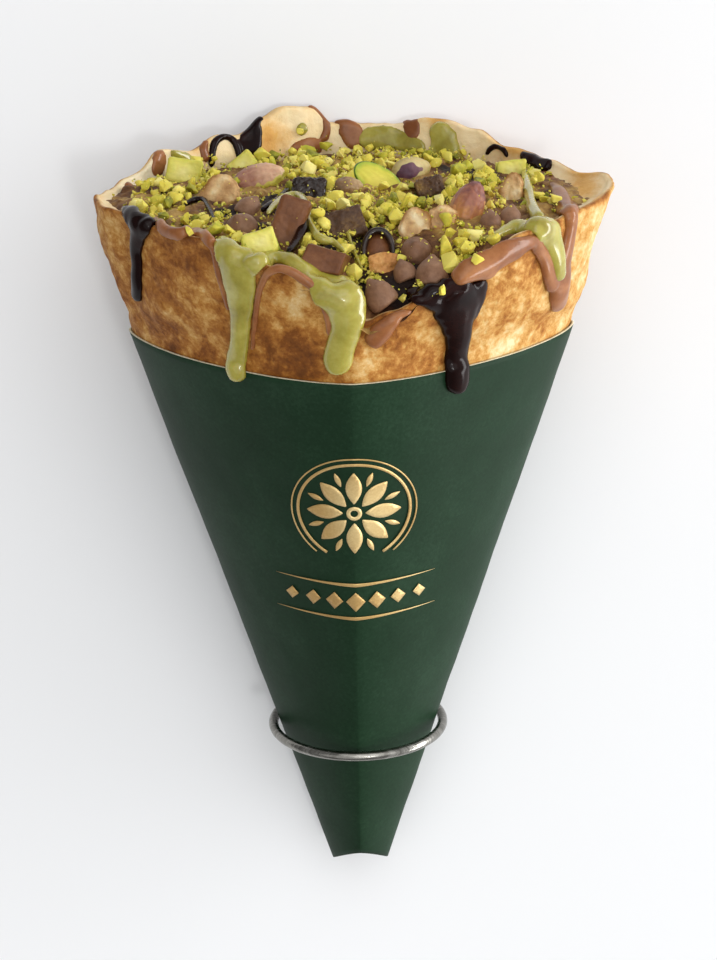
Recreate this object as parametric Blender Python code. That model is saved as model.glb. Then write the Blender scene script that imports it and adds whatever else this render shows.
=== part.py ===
"""A filled crepe cone in a card sleeve with a steel ring, lying on its back.

Shapes are worked out in millimetres in the cone's own frame: x to the right of its front,
y towards its back, z up its axis from the tip of the sleeve. Each mesh is brought to metres
when it is finished, and an empty lays the whole cone down with its front up.
"""

import math
import random

import bmesh
import bpy
from mathutils import Matrix, Vector, noise

# Driving dimensions, in millimetres
MM = 0.001
GAP = 0.3
SLEEVE_HEIGHT = 172.0
SLEEVE_TIP_HALF_WIDTH = 8.6
SLEEVE_TIP_HALF_DEPTH = 9.5
SLEEVE_HALF_WIDTH = 65.0
SLEEVE_HALF_DEPTH = 60.0
CARD_THICKNESS = 0.6
TIP_ARCH = 7.0
RING_HEIGHT = 46.5
RING_RADIUS = 25.9
RING_WIRE_RADIUS = 1.45
WRAP_FOOT = 14.0
WRAP_FLARE_WIDTH = 0.262
WRAP_FLARE_DEPTH = 0.23
WRAP_THICKNESS = 3.2
POCKET_FLOOR = 178.0
HEAP_CENTRE = 211.0
HEAP_OUTLINE_HEIGHT = 205.0
LIP_ROUNDING = 4.0
WRAP_PLAY = 0.35
SOCKET_PLAY = 0.05
WELD = 0.004 * MM

# How finely the cone is divided: round it, and up the sleeve as shares of its height
COLUMNS = 56
SLEEVE_COLUMNS = 48
SLEEVE_STEPS = (0.0, 0.1, 0.35, 0.73, 0.86, 1.0)

# Which of the possible broken shapes the blocks take
BLOCK_SEED = 9

# How the cone lies: its axis rises by the tilt, and its back is pressed flat on the ground.
# The tip of the sleeve stands off the middle of the whole by the place below
LIE_TILT = math.radians(13.5)
GROUND_AT_TIP = 16.23
GROUND_SLOPE = math.tan(LIE_TILT)
TIP_PLACE = (-1.460, -117.046, GROUND_AT_TIP * math.cos(LIE_TILT))

# The crepe's torn rim: degrees round the cone (-90 the front, 90 the back) and height
RIM_POINTS = (
    (-180.0, 212.0), (-156.0, 213.0), (-131.0, 211.0), (-110.0, 205.5), (-96.0, 199.0),
    (-84.0, 190.5), (-76.0, 193.0), (-66.0, 198.0), (-57.0, 204.0), (-45.0, 209.5),
    (-24.0, 211.0), (0.0, 213.5), (10.0, 214.5), (23.0, 212.5), (31.0, 214.0), (46.0, 215.6),
    (53.0, 219.5), (63.0, 221.6), (76.0, 219.2), (85.0, 218.8), (91.0, 219.8), (97.0, 219.2),
    (103.0, 224.6), (110.0, 225.2), (115.0, 222.4), (122.0, 217.8), (127.0, 219.2),
    (134.0, 215.6), (142.0, 217.8), (151.0, 212.8), (165.0, 211.0), (180.0, 212.0),
)


def clamp(value, low=0.0, high=1.0):
    return max(low, min(high, value))


def smooth(value):
    t = clamp(value)
    return t * t * (3.0 - 2.0 * t)


def mix(start, end, share):
    return start + (end - start) * share


def bump(value, centre, width):
    return math.exp(-(((value - centre) / width) ** 2))


def signed_power(value, power):
    return math.copysign(abs(value) ** power, value)


def along(points, value):
    """Reads a smooth curve through (place, height) points."""
    for (start, low), (end, high) in zip(points, points[1:]):
        if value <= end:
            return mix(low, high, smooth((value - start) / (end - start)))
    return points[-1][1]


# The flattened cone's section at each height

def sleeve_half_width(z):
    return mix(SLEEVE_TIP_HALF_WIDTH, SLEEVE_HALF_WIDTH, z / SLEEVE_HEIGHT)


def sleeve_half_depth(z):
    return mix(SLEEVE_TIP_HALF_DEPTH, SLEEVE_HALF_DEPTH, z / SLEEVE_HEIGHT)


def section_power(z):
    """1 is a diamond and 2 an ellipse: the card's side folds keep the cone pointed at its sides."""
    in_card = mix(1.34, 1.45, clamp(z / SLEEVE_HEIGHT))
    return in_card + 0.17 * smooth((z - SLEEVE_HEIGHT) / 30.0)


def ground_depth(z):
    return GROUND_AT_TIP + GROUND_SLOPE * z


def section_point(angle, z, half_width, half_depth):
    power = 2.0 / section_power(z)
    x = half_width * signed_power(math.cos(angle), power)
    y = half_depth * signed_power(math.sin(angle), power)
    return x, y


def section_angle(x, y, z, half_width, half_depth):
    power = section_power(z) / 2.0
    return math.atan2(signed_power(y / half_depth, power), signed_power(x / half_width, power))


def sleeve_point(angle, z):
    x, y = section_point(angle, z, sleeve_half_width(z), sleeve_half_depth(z))
    return Vector((x, min(y, ground_depth(z)), z))


# The crepe: a thin pancake wrapped into a cone, with one edge lapped over the front right

def wrap_half_width(z):
    inset = CARD_THICKNESS + GAP + WRAP_PLAY
    above = max(0.0, z - SLEEVE_HEIGHT)
    return sleeve_half_width(min(z, SLEEVE_HEIGHT)) - inset + WRAP_FLARE_WIDTH * above


def wrap_half_depth(z):
    inset = CARD_THICKNESS + GAP + WRAP_PLAY
    above = max(0.0, z - SLEEVE_HEIGHT)
    return sleeve_half_depth(min(z, SLEEVE_HEIGHT)) - inset + WRAP_FLARE_DEPTH * above


def rim_height(angle):
    return along(RIM_POINTS, math.degrees(angle))


def wall_relief(angle, z):
    """Dents and laps of the crepe above the sleeve, outwards."""
    free = smooth((z - SLEEVE_HEIGHT - 2.0) / 12.0)
    degrees = math.degrees(angle)
    lap_edge = -41.0 + 0.55 * (z - SLEEVE_HEIGHT)
    lap = 1.3 * smooth((degrees - lap_edge) / 5.0) * smooth((28.0 - degrees) / 12.0)
    pleat_edge = -160.0 + 0.18 * (z - SLEEVE_HEIGHT)
    pleat = -1.2 * bump(degrees, pleat_edge, 4.0) + 0.8 * bump(degrees, pleat_edge - 9.0, 6.0)
    waves = 0.7 * math.sin(3.0 * angle + 0.12 * z) + 0.5 * math.sin(7.0 * angle - 0.2 * z)
    return free * (lap + pleat + waves)


def wrap_point(angle, z, inset=0.0):
    """A point of the crepe's outer wall, or of a wall inset from it."""
    half_width = wrap_half_width(z) - inset
    half_depth = wrap_half_depth(z) - inset
    x, y = section_point(angle, z, half_width, half_depth)
    reach = math.hypot(x, y)
    grow = (reach + wall_relief(angle, z)) / reach
    card = CARD_THICKNESS + GAP if z < SLEEVE_HEIGHT + 1.0 else 0.0
    return Vector((x * grow, min(y * grow, ground_depth(z) - inset - card), z))


def rim_thickness(angle):
    """The wall is folded double at the back peak and at the two side corners."""
    degrees = math.degrees(angle)
    return WRAP_THICKNESS + 2.4 * bump(degrees, 108.0, 12.0) + 0.8 * bump(degrees, 62.0, 9.0)


def heap_edge(angle):
    """Height of the filling where it meets the wall."""
    front = min(rim_height(angle) - 2.5, 209.0)
    return mix(front, 210.0, smooth(0.5 + 1.1 * math.sin(angle)))


def heap_height(x, y):
    half_width = wrap_half_width(HEAP_OUTLINE_HEIGHT) - WRAP_THICKNESS
    half_depth = wrap_half_depth(HEAP_OUTLINE_HEIGHT) - WRAP_THICKNESS
    power = section_power(HEAP_OUTLINE_HEIGHT)
    reach = (abs(x / half_width) ** power + abs(y / half_depth) ** power) ** (1.0 / power)
    angle = section_angle(x, y, HEAP_OUTLINE_HEIGHT, half_width, half_depth)
    lumps = 1.2 * noise.noise(Vector((x * 0.09, y * 0.09, 3.0)))
    return mix(HEAP_CENTRE, heap_edge(angle), min(reach, 1.1) ** 1.8) + lumps


# The skin of crepe and filling together, which the sauces run over

def skin_distance(point):
    """Rough height of a point above the card, the bare crepe and the filling."""
    x, y, z = point
    past_card = smooth((z - SLEEVE_HEIGHT - 0.6) / 2.6)
    half_width = mix(sleeve_half_width(z) + 0.1, wrap_half_width(z), past_card)
    half_depth = mix(sleeve_half_depth(z) + 0.1, wrap_half_depth(z), past_card)
    power = section_power(z)
    reach = max((abs(x / half_width) ** power + abs(y / half_depth) ** power) ** (1.0 / power), 0.01)
    angle = section_angle(x, y, z, half_width, half_depth)
    outside = (reach - 1.0) * math.hypot(x, y) / reach - wall_relief(angle, z)
    inwards = smooth((-outside - rim_thickness(angle) + 1.0) / 3.0)
    over = z - mix(rim_height(angle), heap_height(x, y), inwards)
    share = clamp(0.5 + 0.5 * (outside - over) / LIP_ROUNDING)
    return mix(over, outside, share) + 0.5 * LIP_ROUNDING * share * (1.0 - share)


def skin_slope(point):
    step = 0.4
    slope = []
    for axis in range(3):
        shift = Vector((0.0, 0.0, 0.0))
        shift[axis] = step
        slope.append((skin_distance(point + shift) - skin_distance(point - shift)) / (2.0 * step))
    return Vector(slope)


def on_skin(point, height):
    """Moves a point to a given height above the skin."""
    for _ in range(9):
        slope = skin_slope(point)
        steep = max(slope.length, 0.3)
        point = point + slope / steep * clamp(height - skin_distance(point) / steep, -2.5, 2.5)
    return point


# Mesh helpers

def lay_object(name, bm, material):
    """Finishes a mesh in metres and hangs it on the empty that lays the cone down."""
    bmesh.ops.scale(bm, vec=(MM, MM, MM), verts=bm.verts)
    bmesh.ops.triangulate(bm, faces=bm.faces)
    bmesh.ops.recalc_face_normals(bm, faces=bm.faces)
    mesh = bpy.data.meshes.new(name)
    bm.to_mesh(mesh)
    bm.free()
    mesh.shade_smooth()
    mesh.set_sharp_from_angle(angle=math.radians(50.0))
    mesh.materials.append(material)
    obj = bpy.data.objects.new(name, mesh)
    bpy.context.scene.collection.objects.link(obj)
    obj.parent = bpy.data.objects["cone_axis"]
    return obj


def make_material(name, colour, roughness, metallic=0.0):
    material = bpy.data.materials.new(name)
    material.use_nodes = True
    shader = material.node_tree.nodes["Principled BSDF"]
    shader.inputs["Base Color"].default_value = (*colour, 1.0)
    shader.inputs["Roughness"].default_value = roughness
    shader.inputs["Metallic"].default_value = metallic
    return material


def ring_of_points(bm, points):
    verts = [bm.verts.new(point) for point in points]
    return [bm.edges.new((verts[i], verts[(i + 1) % len(verts)])) for i in range(len(verts))]


def loft(bm, rings):
    """Joins closed rings of points, one after another, and returns their edges."""
    edges = [ring_of_points(bm, ring) for ring in rings]
    for low, high in zip(edges, edges[1:]):
        bmesh.ops.bridge_loops(bm, edges=low + high)
    return edges


def close_with_fan(bm, edges, centre):
    tip = bm.verts.new(centre)
    for edge in edges:
        bm.faces.new((edge.verts[0], edge.verts[1], tip))


def angles(count=COLUMNS):
    return [-math.pi + math.tau * (i + 0.5) / count for i in range(count)]


# Sleeve and ring

def make_sleeve(material):
    bm = bmesh.new()
    rings = []
    for share in SLEEVE_STEPS:
        ring = []
        for angle in angles(SLEEVE_COLUMNS):
            foot = TIP_ARCH * math.sin(angle) ** 2
            ring.append(sleeve_point(angle, mix(foot, SLEEVE_HEIGHT, share)))
        rings.append(ring)
    loft(bm, rings)
    sleeve = lay_object("sleeve", bm, material)
    wall = sleeve.modifiers.new("card", "SOLIDIFY")
    wall.thickness = CARD_THICKNESS * MM
    wall.offset = -1.0


def make_ring(material):
    bm = bmesh.new()
    bmesh.ops.create_circle(
        bm, radius=RING_WIRE_RADIUS, segments=8,
        matrix=Matrix.Translation((RING_RADIUS, 0.0, RING_HEIGHT)) @ Matrix.Rotation(math.pi / 2, 4, "X"),
    )
    bmesh.ops.spin(
        bm, geom=bm.verts[:] + bm.edges[:], cent=(0.0, 0.0, 0.0), axis=(0.0, 0.0, 1.0),
        angle=math.tau, steps=40, use_merge=True,
    )
    bmesh.ops.remove_doubles(bm, verts=bm.verts, dist=0.01)
    lay_object("steel_ring", bm, material)


# Crepe and filling. Each can be grown by the gap, to cut what lies against it

def crepe_mesh(grow=0.0):
    bm = bmesh.new()
    rings = []
    for share in (0.0, 0.5, 0.98, 1.0):
        z = mix(WRAP_FOOT, SLEEVE_HEIGHT - 1.0, share)
        rings.append([wrap_point(angle, z, -grow) for angle in angles()])
    for share in (0.06, 0.2, 0.36, 0.52, 0.68, 0.84, 0.95):
        rings.append([
            wrap_point(angle, mix(SLEEVE_HEIGHT, rim_height(angle), share), -grow)
            for angle in angles()
        ])
    for inset, drop in ((0.3, 0.0), (0.7, 0.0), (1.0, 0.07)):
        ring = []
        for angle in angles():
            top = mix(rim_height(angle), POCKET_FLOOR, drop) + grow
            spread = grow * (2.0 * inset - 1.0)
            ring.append(wrap_point(angle, top, inset * rim_thickness(angle) + spread))
        rings.append(ring)
    for drop in (0.35, 0.7, 1.0):
        ring = []
        for angle in angles():
            z = mix(rim_height(angle), POCKET_FLOOR, drop) + grow
            thickness = mix(rim_thickness(angle), WRAP_THICKNESS, drop)
            ring.append(wrap_point(angle, z, thickness + grow))
        rings.append(ring)
    edges = loft(bm, rings)
    close_with_fan(bm, edges[0], (0.0, 0.0, WRAP_FOOT))
    close_with_fan(bm, edges[-1], (0.0, 0.0, POCKET_FLOOR + grow))
    return bm


def heap_mesh(grow=0.0):
    """The filling up to its uneven top, without the pieces that lie on it."""
    bm = bmesh.new()
    around = angles(28)

    def wall(angle, z):
        return wrap_point(angle, z, rim_thickness(angle) + GAP + 1.0 - grow)

    rings = [[wall(angle, POCKET_FLOOR + GAP + 0.2) for angle in around]]
    edge_ring = []
    for angle in around:
        z = min(heap_edge(angle), rim_height(angle) - 1.0)
        edge_ring.append(wall(angle, z + grow))
    rings.append([mix(low, high, 0.5) for low, high in zip(rings[0], edge_ring)])
    rings.append(edge_ring)
    for share in (0.88, 0.7, 0.5, 0.3, 0.14):
        ring = []
        for point in edge_ring:
            x, y = point.x * share, point.y * share
            ring.append(Vector((x, y, heap_height(x, y) + grow)))
        rings.append(ring)
    edges = loft(bm, rings)
    close_with_fan(bm, edges[0], (0.0, 0.0, POCKET_FLOOR + GAP + 0.2))
    close_with_fan(bm, edges[-1], (0.0, 0.0, heap_height(0.0, 0.0) + grow))
    return bm


def card_cone_mesh(grow):
    """The room the sleeve takes, as a solid cone, to cut what hangs over its edge."""
    bm = bmesh.new()
    rings = []
    covered = [SLEEVE_HEIGHT * share for share in SLEEVE_STEPS[3:]]
    for z in covered + [SLEEVE_HEIGHT + grow]:
        ring = []
        for angle in angles(SLEEVE_COLUMNS):
            point = sleeve_point(angle, min(z, SLEEVE_HEIGHT))
            reach = math.hypot(point.x, point.y)
            ring.append(Vector((
                point.x * (reach + grow) / reach, point.y * (reach + grow) / reach, z,
            )))
        rings.append(ring)
    edges = loft(bm, rings)
    close_with_fan(bm, edges[0], (0.0, 0.0, covered[0]))
    close_with_fan(bm, edges[-1], (0.0, 0.0, SLEEVE_HEIGHT + grow))
    return bm


# Pieces on the filling. Each leans in the plane that faces the eater: along is its long way

VIEW_PITCH = math.radians(19.0)
TO_EATER = Vector((0.0, -math.cos(VIEW_PITCH), math.sin(VIEW_PITCH)))
ACROSS = Vector((1.0, 0.0, 0.0))
UPWARDS = TO_EATER.cross(ACROSS)


def leaning(x, y, lift, lean, yaw=0.0):
    """Matrix of a piece whose middle is lifted off the filling at x, y towards the eater."""
    along_way = ACROSS * math.cos(math.radians(lean)) + UPWARDS * math.sin(math.radians(lean))
    facing = (TO_EATER + ACROSS * math.sin(math.radians(yaw))).normalized()
    facing = (facing - along_way * facing.dot(along_way)).normalized()
    third = facing.cross(along_way)
    turn = Matrix((along_way, third, facing)).transposed().to_4x4()
    foot = Vector((x, y, heap_height(x, y)))
    return Matrix.Translation(foot + TO_EATER * lift) @ turn


def kernel_shape(bm, size, grow, matrix):
    """A pistachio kernel: one end blunter, with a flat where its halves meet."""
    made = bmesh.ops.create_uvsphere(bm, u_segments=10, v_segments=7, radius=0.5)["verts"]
    length, width, thick = size
    bmesh.ops.rotate(bm, verts=made, matrix=Matrix.Rotation(math.pi / 2.0, 3, "Y"))
    for vert in made:
        taper = 1.0 - 0.45 * max(0.0, vert.co.x) ** 1.5 * 2.0
        vert.co = Vector((
            vert.co.x * (length + 2.0 * grow),
            vert.co.y * taper * (width + 2.0 * grow),
            vert.co.z * taper * (thick + 2.0 * grow),
        ))
    bmesh.ops.transform(bm, matrix=matrix, verts=made)


def chip_shape(bm, size, grow, matrix):
    """A baking chip: a round base drawn up to a blunt peak along its own y."""
    width, height = size[0] + 2.0 * grow, size[1] + 2.0 * grow
    rings = []
    for share, rise in ((0.78, -0.5), (1.0, -0.38), (0.94, -0.16), (0.62, 0.1), (0.3, 0.34), (0.12, 0.48)):
        rings.append([
            Vector((
                math.cos(math.tau * i / 9.0) * share * width / 2.0,
                rise * height,
                math.sin(math.tau * i / 9.0) * share * width / 2.0,
            ))
            for i in range(9)
        ])
    rings = [[matrix @ point for point in ring] for ring in rings]
    edges = loft(bm, rings)
    close_with_fan(bm, edges[0], matrix @ Vector((0.0, -0.5 * height, 0.0)))
    close_with_fan(bm, edges[-1], matrix @ Vector((0.0, 0.5 * height, 0.0)))


def block_shape(bm, size, grow, matrix):
    """A broken block of chocolate, kernel or crepe with chipped corners."""
    made = bmesh.ops.create_cube(bm, size=1.0)["verts"]
    for vert in made:
        vert.co += noise.noise_vector(Vector(size) * 0.37 + vert.co * 1.7) * 0.22
        for axis in range(3):
            vert.co[axis] *= size[axis] + 2.0 * grow
    rounding = 0.14 * min(size)
    bmesh.ops.bevel(
        bm, geom=bm.edges[:], offset=rounding, segments=1, profile=0.5, affect="EDGES", material=-1
    )
    bmesh.ops.transform(bm, matrix=matrix, verts=bm.verts)


def curl_shape(bm, size, grow, matrix):
    """A standing shell of dark chocolate, bent to an arch."""
    width, height, deep = size
    wall = 0.16 * width + grow
    rings = []
    for i in range(9):
        angle = math.pi * (-0.12 + 1.24 * i / 8.0)
        middle = Vector((math.cos(angle) * width * 0.4, math.sin(angle) * height * 0.62 - 0.2 * height, 0.0))
        outward = Vector((math.cos(angle), math.sin(angle), 0.0))
        half = Vector((0.0, 0.0, deep / 2.0 + grow))
        rings.append([
            matrix @ (middle - outward * wall - half), matrix @ (middle + outward * wall - half),
            matrix @ (middle + outward * wall + half), matrix @ (middle - outward * wall + half),
        ])
    loft(bm, rings)
    bmesh.ops.holes_fill(bm, edges=[edge for edge in bm.edges if edge.is_boundary], sides=4)


def scrap_shape(bm, size, grow, matrix):
    """A torn, slightly cupped scrap of crepe."""
    rings = []
    count = 9
    for level in (-0.5, 0.5):
        ring = []
        for i in range(count):
            angle = math.tau * i / count
            reach = 1.0 + 0.3 * noise.noise(Vector((size[0], i * 1.9, size[1])))
            x = math.cos(angle) * reach * (size[0] / 2.0 + grow)
            y = math.sin(angle) * reach * (size[1] / 2.0 + grow)
            cup = 0.05 * (x * x - y * y) / max(size[0], size[1])
            ring.append(matrix @ Vector((x, y, level * (size[2] + 2.0 * grow) + cup)))
        rings.append(ring)
    edges = loft(bm, rings)
    for ring_edges, level in ((edges[0], -0.5), (edges[1], 0.5)):
        close_with_fan(bm, ring_edges, matrix @ Vector((0.0, 0.0, level * (size[2] + 2.0 * grow) * 1.1)))


SHAPES = {
    "kernel": kernel_shape, "chip": chip_shape, "block": block_shape,
    "curl": curl_shape, "scrap": scrap_shape,
}

# Name, shape, material, place on the filling, lift, lean and yaw in degrees, size
TOPPINGS = (
    ("kernel_green_large", "kernel", "kernel_green", (9.2, 13.3), 3.2, -35, 5, (18.0, 9.0, 8.0)),
    ("kernel_pink_left", "kernel", "kernel_skin", (-26.3, 19.1), 3.2, 17, 0, (16.5, 9.6, 8.5)),
    ("kernel_purple", "kernel", "kernel_skin", (18.4, 28.5), 3.0, 12, 0, (12.0, 8.4, 7.5)),
    ("kernel_standing", "kernel", "kernel_skin", (32.8, -17.2), 4.2, 64, 0, (15.5, 9.4, 8.6)),
    ("kernel_brown", "kernel", "kernel_skin", (-0.4, 5.2), 2.0, 3, 0, (9.0, 6.2, 6.0)),
    ("kernel_cube_left", "block", "kernel_green", (-49, 32), 2.4, -12, 20, (9.8, 8.0, 7.5)),
    ("kernel_half_back", "block", "kernel_green", (-32.1, 47.5), 2.0, 35, 0, (8.5, 6.0, 6.0)),
    ("kernel_half_front", "block", "kernel_green", (-23.8, -43.8), 2.6, 12, 0, (9.6, 7.0, 6.5)),
    ("kernel_cube_right", "block", "kernel_green", (48.2, 30.5), 2.0, 0, -15, (8.8, 6.0, 7.0)),
    ("chip_upright", "chip", "chip_chocolate", (22.0, -47.1), 3.4, 0, 0, (9.0, 8.8)),
    ("chip_end_on", "chip", "chip_chocolate", (18.1, -38.1), 3.2, 0, 62, (8.6, 7.6)),
    ("chip_low", "chip", "chip_chocolate", (14.4, -46.0), 2.0, 20, 0, (6.4, 6.4)),
    ("chip_tilted", "chip", "chip_chocolate", (7.2, -52.2), 3.2, 38, 0, (8.4, 9.2)),
    ("chip_right_inner", "chip", "chip_chocolate", (38.9, -26.8), 2.8, 0, 0, (6.2, 5.8)),
    ("chip_right_outer", "chip", "chip_chocolate", (44.6, -23.8), 2.8, -8, 0, (6.6, 7.0)),
    ("chip_left_inner", "chip", "chip_chocolate", (-27.6, -12.7), 2.8, -30, 0, (7.6, 7.0)),
    ("chip_left_outer", "chip", "chip_chocolate", (-29.9, -29.4), 2.6, 20, 30, (8.8, 7.0)),
    ("chunk_square", "block", "chunk_chocolate", (-6.6, -49.0), 2.4, -14, 0, (11.6, 6.6, 8.0)),
    ("chunk_half_shell", "block", "chunk_chocolate", (-16.9, -31.6), 4.2, 70, 0, (15.5, 8.6, 6.5)),
    ("chunk_curl", "curl", "dark_chocolate", (7.8, -34.0), 3.8, 0, 0, (10.0, 12.0, 5.0)),
    ("chunk_dark_back", "block", "dark_chocolate", (-11.4, 2.6), 2.8, -10, 0, (9.0, 8.4, 6.0)),
    ("chunk_specked", "block", "chunk_chocolate", (-1.1, -26.9), 2.6, 15, 0, (10.0, 8.5, 7.0)),
    ("chunk_crumbly", "block", "chunk_chocolate", (23.2, 1.9), 2.4, 12, 0, (8.0, 6.6, 6.5)),
    ("scrap_peach", "scrap", "crepe_scrap", (-37.0, 0.2), 3.6, 60, -10, (14.0, 10.6, 3.4)),
    ("scrap_cream", "scrap", "crepe_scrap", (17.8, -28.6), 3.0, 40, 0, (10.0, 8.6, 3.4)),
    ("scrap_beige", "scrap", "crepe_scrap", (25.8, -27.1), 2.6, -20, 10, (8.5, 7.5, 3.4)),
    ("scrap_amber", "scrap", "crepe_scrap", (46.4, 0.2), 3.0, 80, -10, (10.5, 7.4, 4.0)),
    ("scrap_browned", "scrap", "crepe_scrap", (9.5, -41.0), 2.6, 6, 0, (9.6, 6.6, 3.6)),
)


def topping_mesh(topping, grow):
    _, kind, _, place, lift, lean, yaw, size = topping
    bm = bmesh.new()
    matrix = leaning(*place, lift, lean, yaw)
    if kind == "chip" and yaw:
        matrix = matrix @ Matrix.Rotation(math.radians(yaw), 4, "X")
    SHAPES[kind](bm, size, grow, matrix)
    return bm


# Sauces: bands with domed backs that follow the skin of crepe, filling and card

# Name, material, thickness, and the middle of the run: x, y, z and half width
SAUCES = (
    ("pistachio_drip_left", "pistachio_sauce", 2.6, (
        (-32, -51, 211, 4.4), (-29, -57, 206, 6.2), (-29, -54, 198, 4.3),
        (-30, -50, 188, 3.2), (-31, -46, 178, 3.1), (-32, -43, 170, 3.4),
    )),
    ("pistachio_drip_centre", "pistachio_sauce", 2.8, (
        (-20, -61, 207, 2.0), (-15, -62, 206, 2.4), (-10, -63, 204, 3.0), (-5, -64, 201, 4.4),
        (-1, -64, 196, 6.4), (-1, -63, 189, 5.6), (-3, -61, 182, 4.4), (-4, -59, 175, 3.8),
    )),
    ("pistachio_drip_right", "pistachio_sauce", 2.6, (
        (41, -46, 211, 1.5), (46, -44, 212, 2.6), (52, -40, 211, 3.4), (56, -34, 204, 2.9),
        (57, -30, 199, 2.8), (58, -27, 193, 2.7),
    )),
    ("milk_band_right", "milk_sauce", 2.2, (
        (31, -51, 201, 2.0), (35, -51, 203, 2.8), (40, -49, 206, 2.8), (44, -47, 207, 1.8),
    )),
    ("milk_drip_right", "milk_sauce", 2.4, (
        (61, -25, 213, 2.2), (62.5, -24, 206, 2.0), (62, -22, 197, 2.0), (60.5, -20, 188, 3.2),
        (60, -18, 182, 3.0),
    )),
    ("milk_tongue", "milk_sauce", 2.2, (
        (15, -60, 193, 1.4), (11, -60, 190.5, 2.1), (8.5, -61, 187, 2.6), (7.5, -60, 183, 2.4),
    )),
    ("dark_drip_front", "dark_sauce", 2.8, (
        (30, -47, 201, 6.2), (30, -52, 197, 7.0), (30, -52, 190, 5.6), (29, -49, 181, 3.8),
        (29, -45, 173, 3.4), (29, -43, 166, 3.7),
    )),
    ("dark_drip_left", "dark_sauce", 2.4, (
        (-55, -35, 215, 4.6), (-58, -34, 210, 3.4), (-58, -30, 203, 2.7), (-59, -25, 194, 2.4),
        (-60, -21, 188, 2.5),
    )),
    ("milk_band_left", "milk_sauce", 1.8, (
        (-50, -42, 213, 1.5), (-45, -46, 213, 1.5), (-40, -50, 212, 1.4),
    )),
    ("pistachio_dollop_back", "pistachio_sauce", 3.4, (
        (27, 60, 222, 3.2), (29, 57, 217, 4.4), (32, 52, 212, 4.6),
    )),
    ("dark_dollop_back", "dark_sauce", 2.6, (
        (52, 38, 214, 3.0), (56, 34, 214, 3.6), (60, 29, 213, 3.0),
    )),
    ("dark_patch_back", "dark_sauce", 1.6, (
        (-27, 63, 222, 3.2), (-28, 60, 220, 3.8), (-30, 55, 214, 3.4),
    )),
)
SAUCE_STEP = 3.4
SAUCE_SIDES = 8
SAUCE_ROOT = 1.6
SAUCE_END = 0.35


def sauce_stations(path):
    """Even steps along the smooth middle line, with half widths that close in a round at both ends."""
    points = [Vector(knot[:3]) for knot in path]
    halves = [knot[3] for knot in path]
    fine = []
    for i in range(len(points) - 1):
        before = points[max(i - 1, 0)]
        after = points[min(i + 2, len(points) - 1)]
        for step in range(8):
            t = step / 8.0
            start, end = points[i], points[i + 1]
            bend_in = (end - before) / 6.0
            bend_out = (after - start) / 6.0
            a, b = start + bend_in, end - bend_out
            s = 1.0 - t
            place = start * s ** 3 + a * 3.0 * s * s * t + b * 3.0 * s * t * t + end * t ** 3
            fine.append((place, mix(halves[i], halves[i + 1], smooth(t))))
    fine.append((points[-1], halves[-1]))
    lengths = [0.0]
    for (start, _), (end, _) in zip(fine, fine[1:]):
        lengths.append(lengths[-1] + (end - start).length)
    total = lengths[-1]
    count = max(5, round(total / SAUCE_STEP))
    places = [0.01, 0.35 * SAUCE_STEP] + [total * i / count for i in range(1, count)]
    places += [total - 0.35 * SAUCE_STEP, total - 0.01]
    stations = []
    for place in sorted(places):
        i = max(k for k in range(len(lengths)) if lengths[k] <= place)
        i = min(i, len(fine) - 2)
        share = (place - lengths[i]) / (lengths[i + 1] - lengths[i])
        middle = fine[i][0].lerp(fine[i + 1][0], share)
        half = mix(fine[i][1], fine[i + 1][1], share)
        way = (fine[i + 1][0] - fine[i][0]).normalized()
        from_end = min(place, total - place)
        if from_end < half:
            half *= math.sqrt(1.0 - (1.0 - from_end / half) ** 2)
        stations.append((middle, way, max(half, SAUCE_END)))
    return stations


def sauce_mesh(sauce):
    """A fat flattened run along the skin: its lower half is cut away by what it lies on."""
    _, _, thickness, path = sauce
    bm = bmesh.new()
    rings = []
    for middle, way, half in sauce_stations(path):
        middle = on_skin(middle, 0.0)
        outwards = Vector()
        for shift in (-1.0, 0.0, 1.0):
            outwards += skin_slope(middle + way * shift * SAUCE_STEP)
        outwards = (outwards - way * outwards.dot(way)).normalized()
        side = way.cross(outwards).normalized()
        rise = thickness * min(1.0, half / 2.2)
        ring = []
        for i in range(SAUCE_SIDES):
            angle = math.tau * (i + 0.5) / SAUCE_SIDES
            height = math.sin(angle) * (rise if math.sin(angle) > 0.0 else SAUCE_ROOT)
            ring.append(middle + side * half * math.cos(angle) + outwards * height)
        rings.append(ring)
    edges = loft(bm, rings)
    for ring_edges, ring in ((edges[0], rings[0]), (edges[-1], rings[-1])):
        close_with_fan(bm, ring_edges, sum(ring, Vector()) / len(ring))
    return bm


# Chopped kernels and crumbs fused to the filling

CHOPPED_COUNT = 55
CHOPPED_SIZE = (2.6, 5.2)
CHOPPED_SPOTS = ((0, 34, 20, 0.34), (10, 0, 24, 0.26), (-20, 0, 34, 0.16), (28, -22, 12, 0.14), (-8, -28, 12, 0.1))


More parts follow.
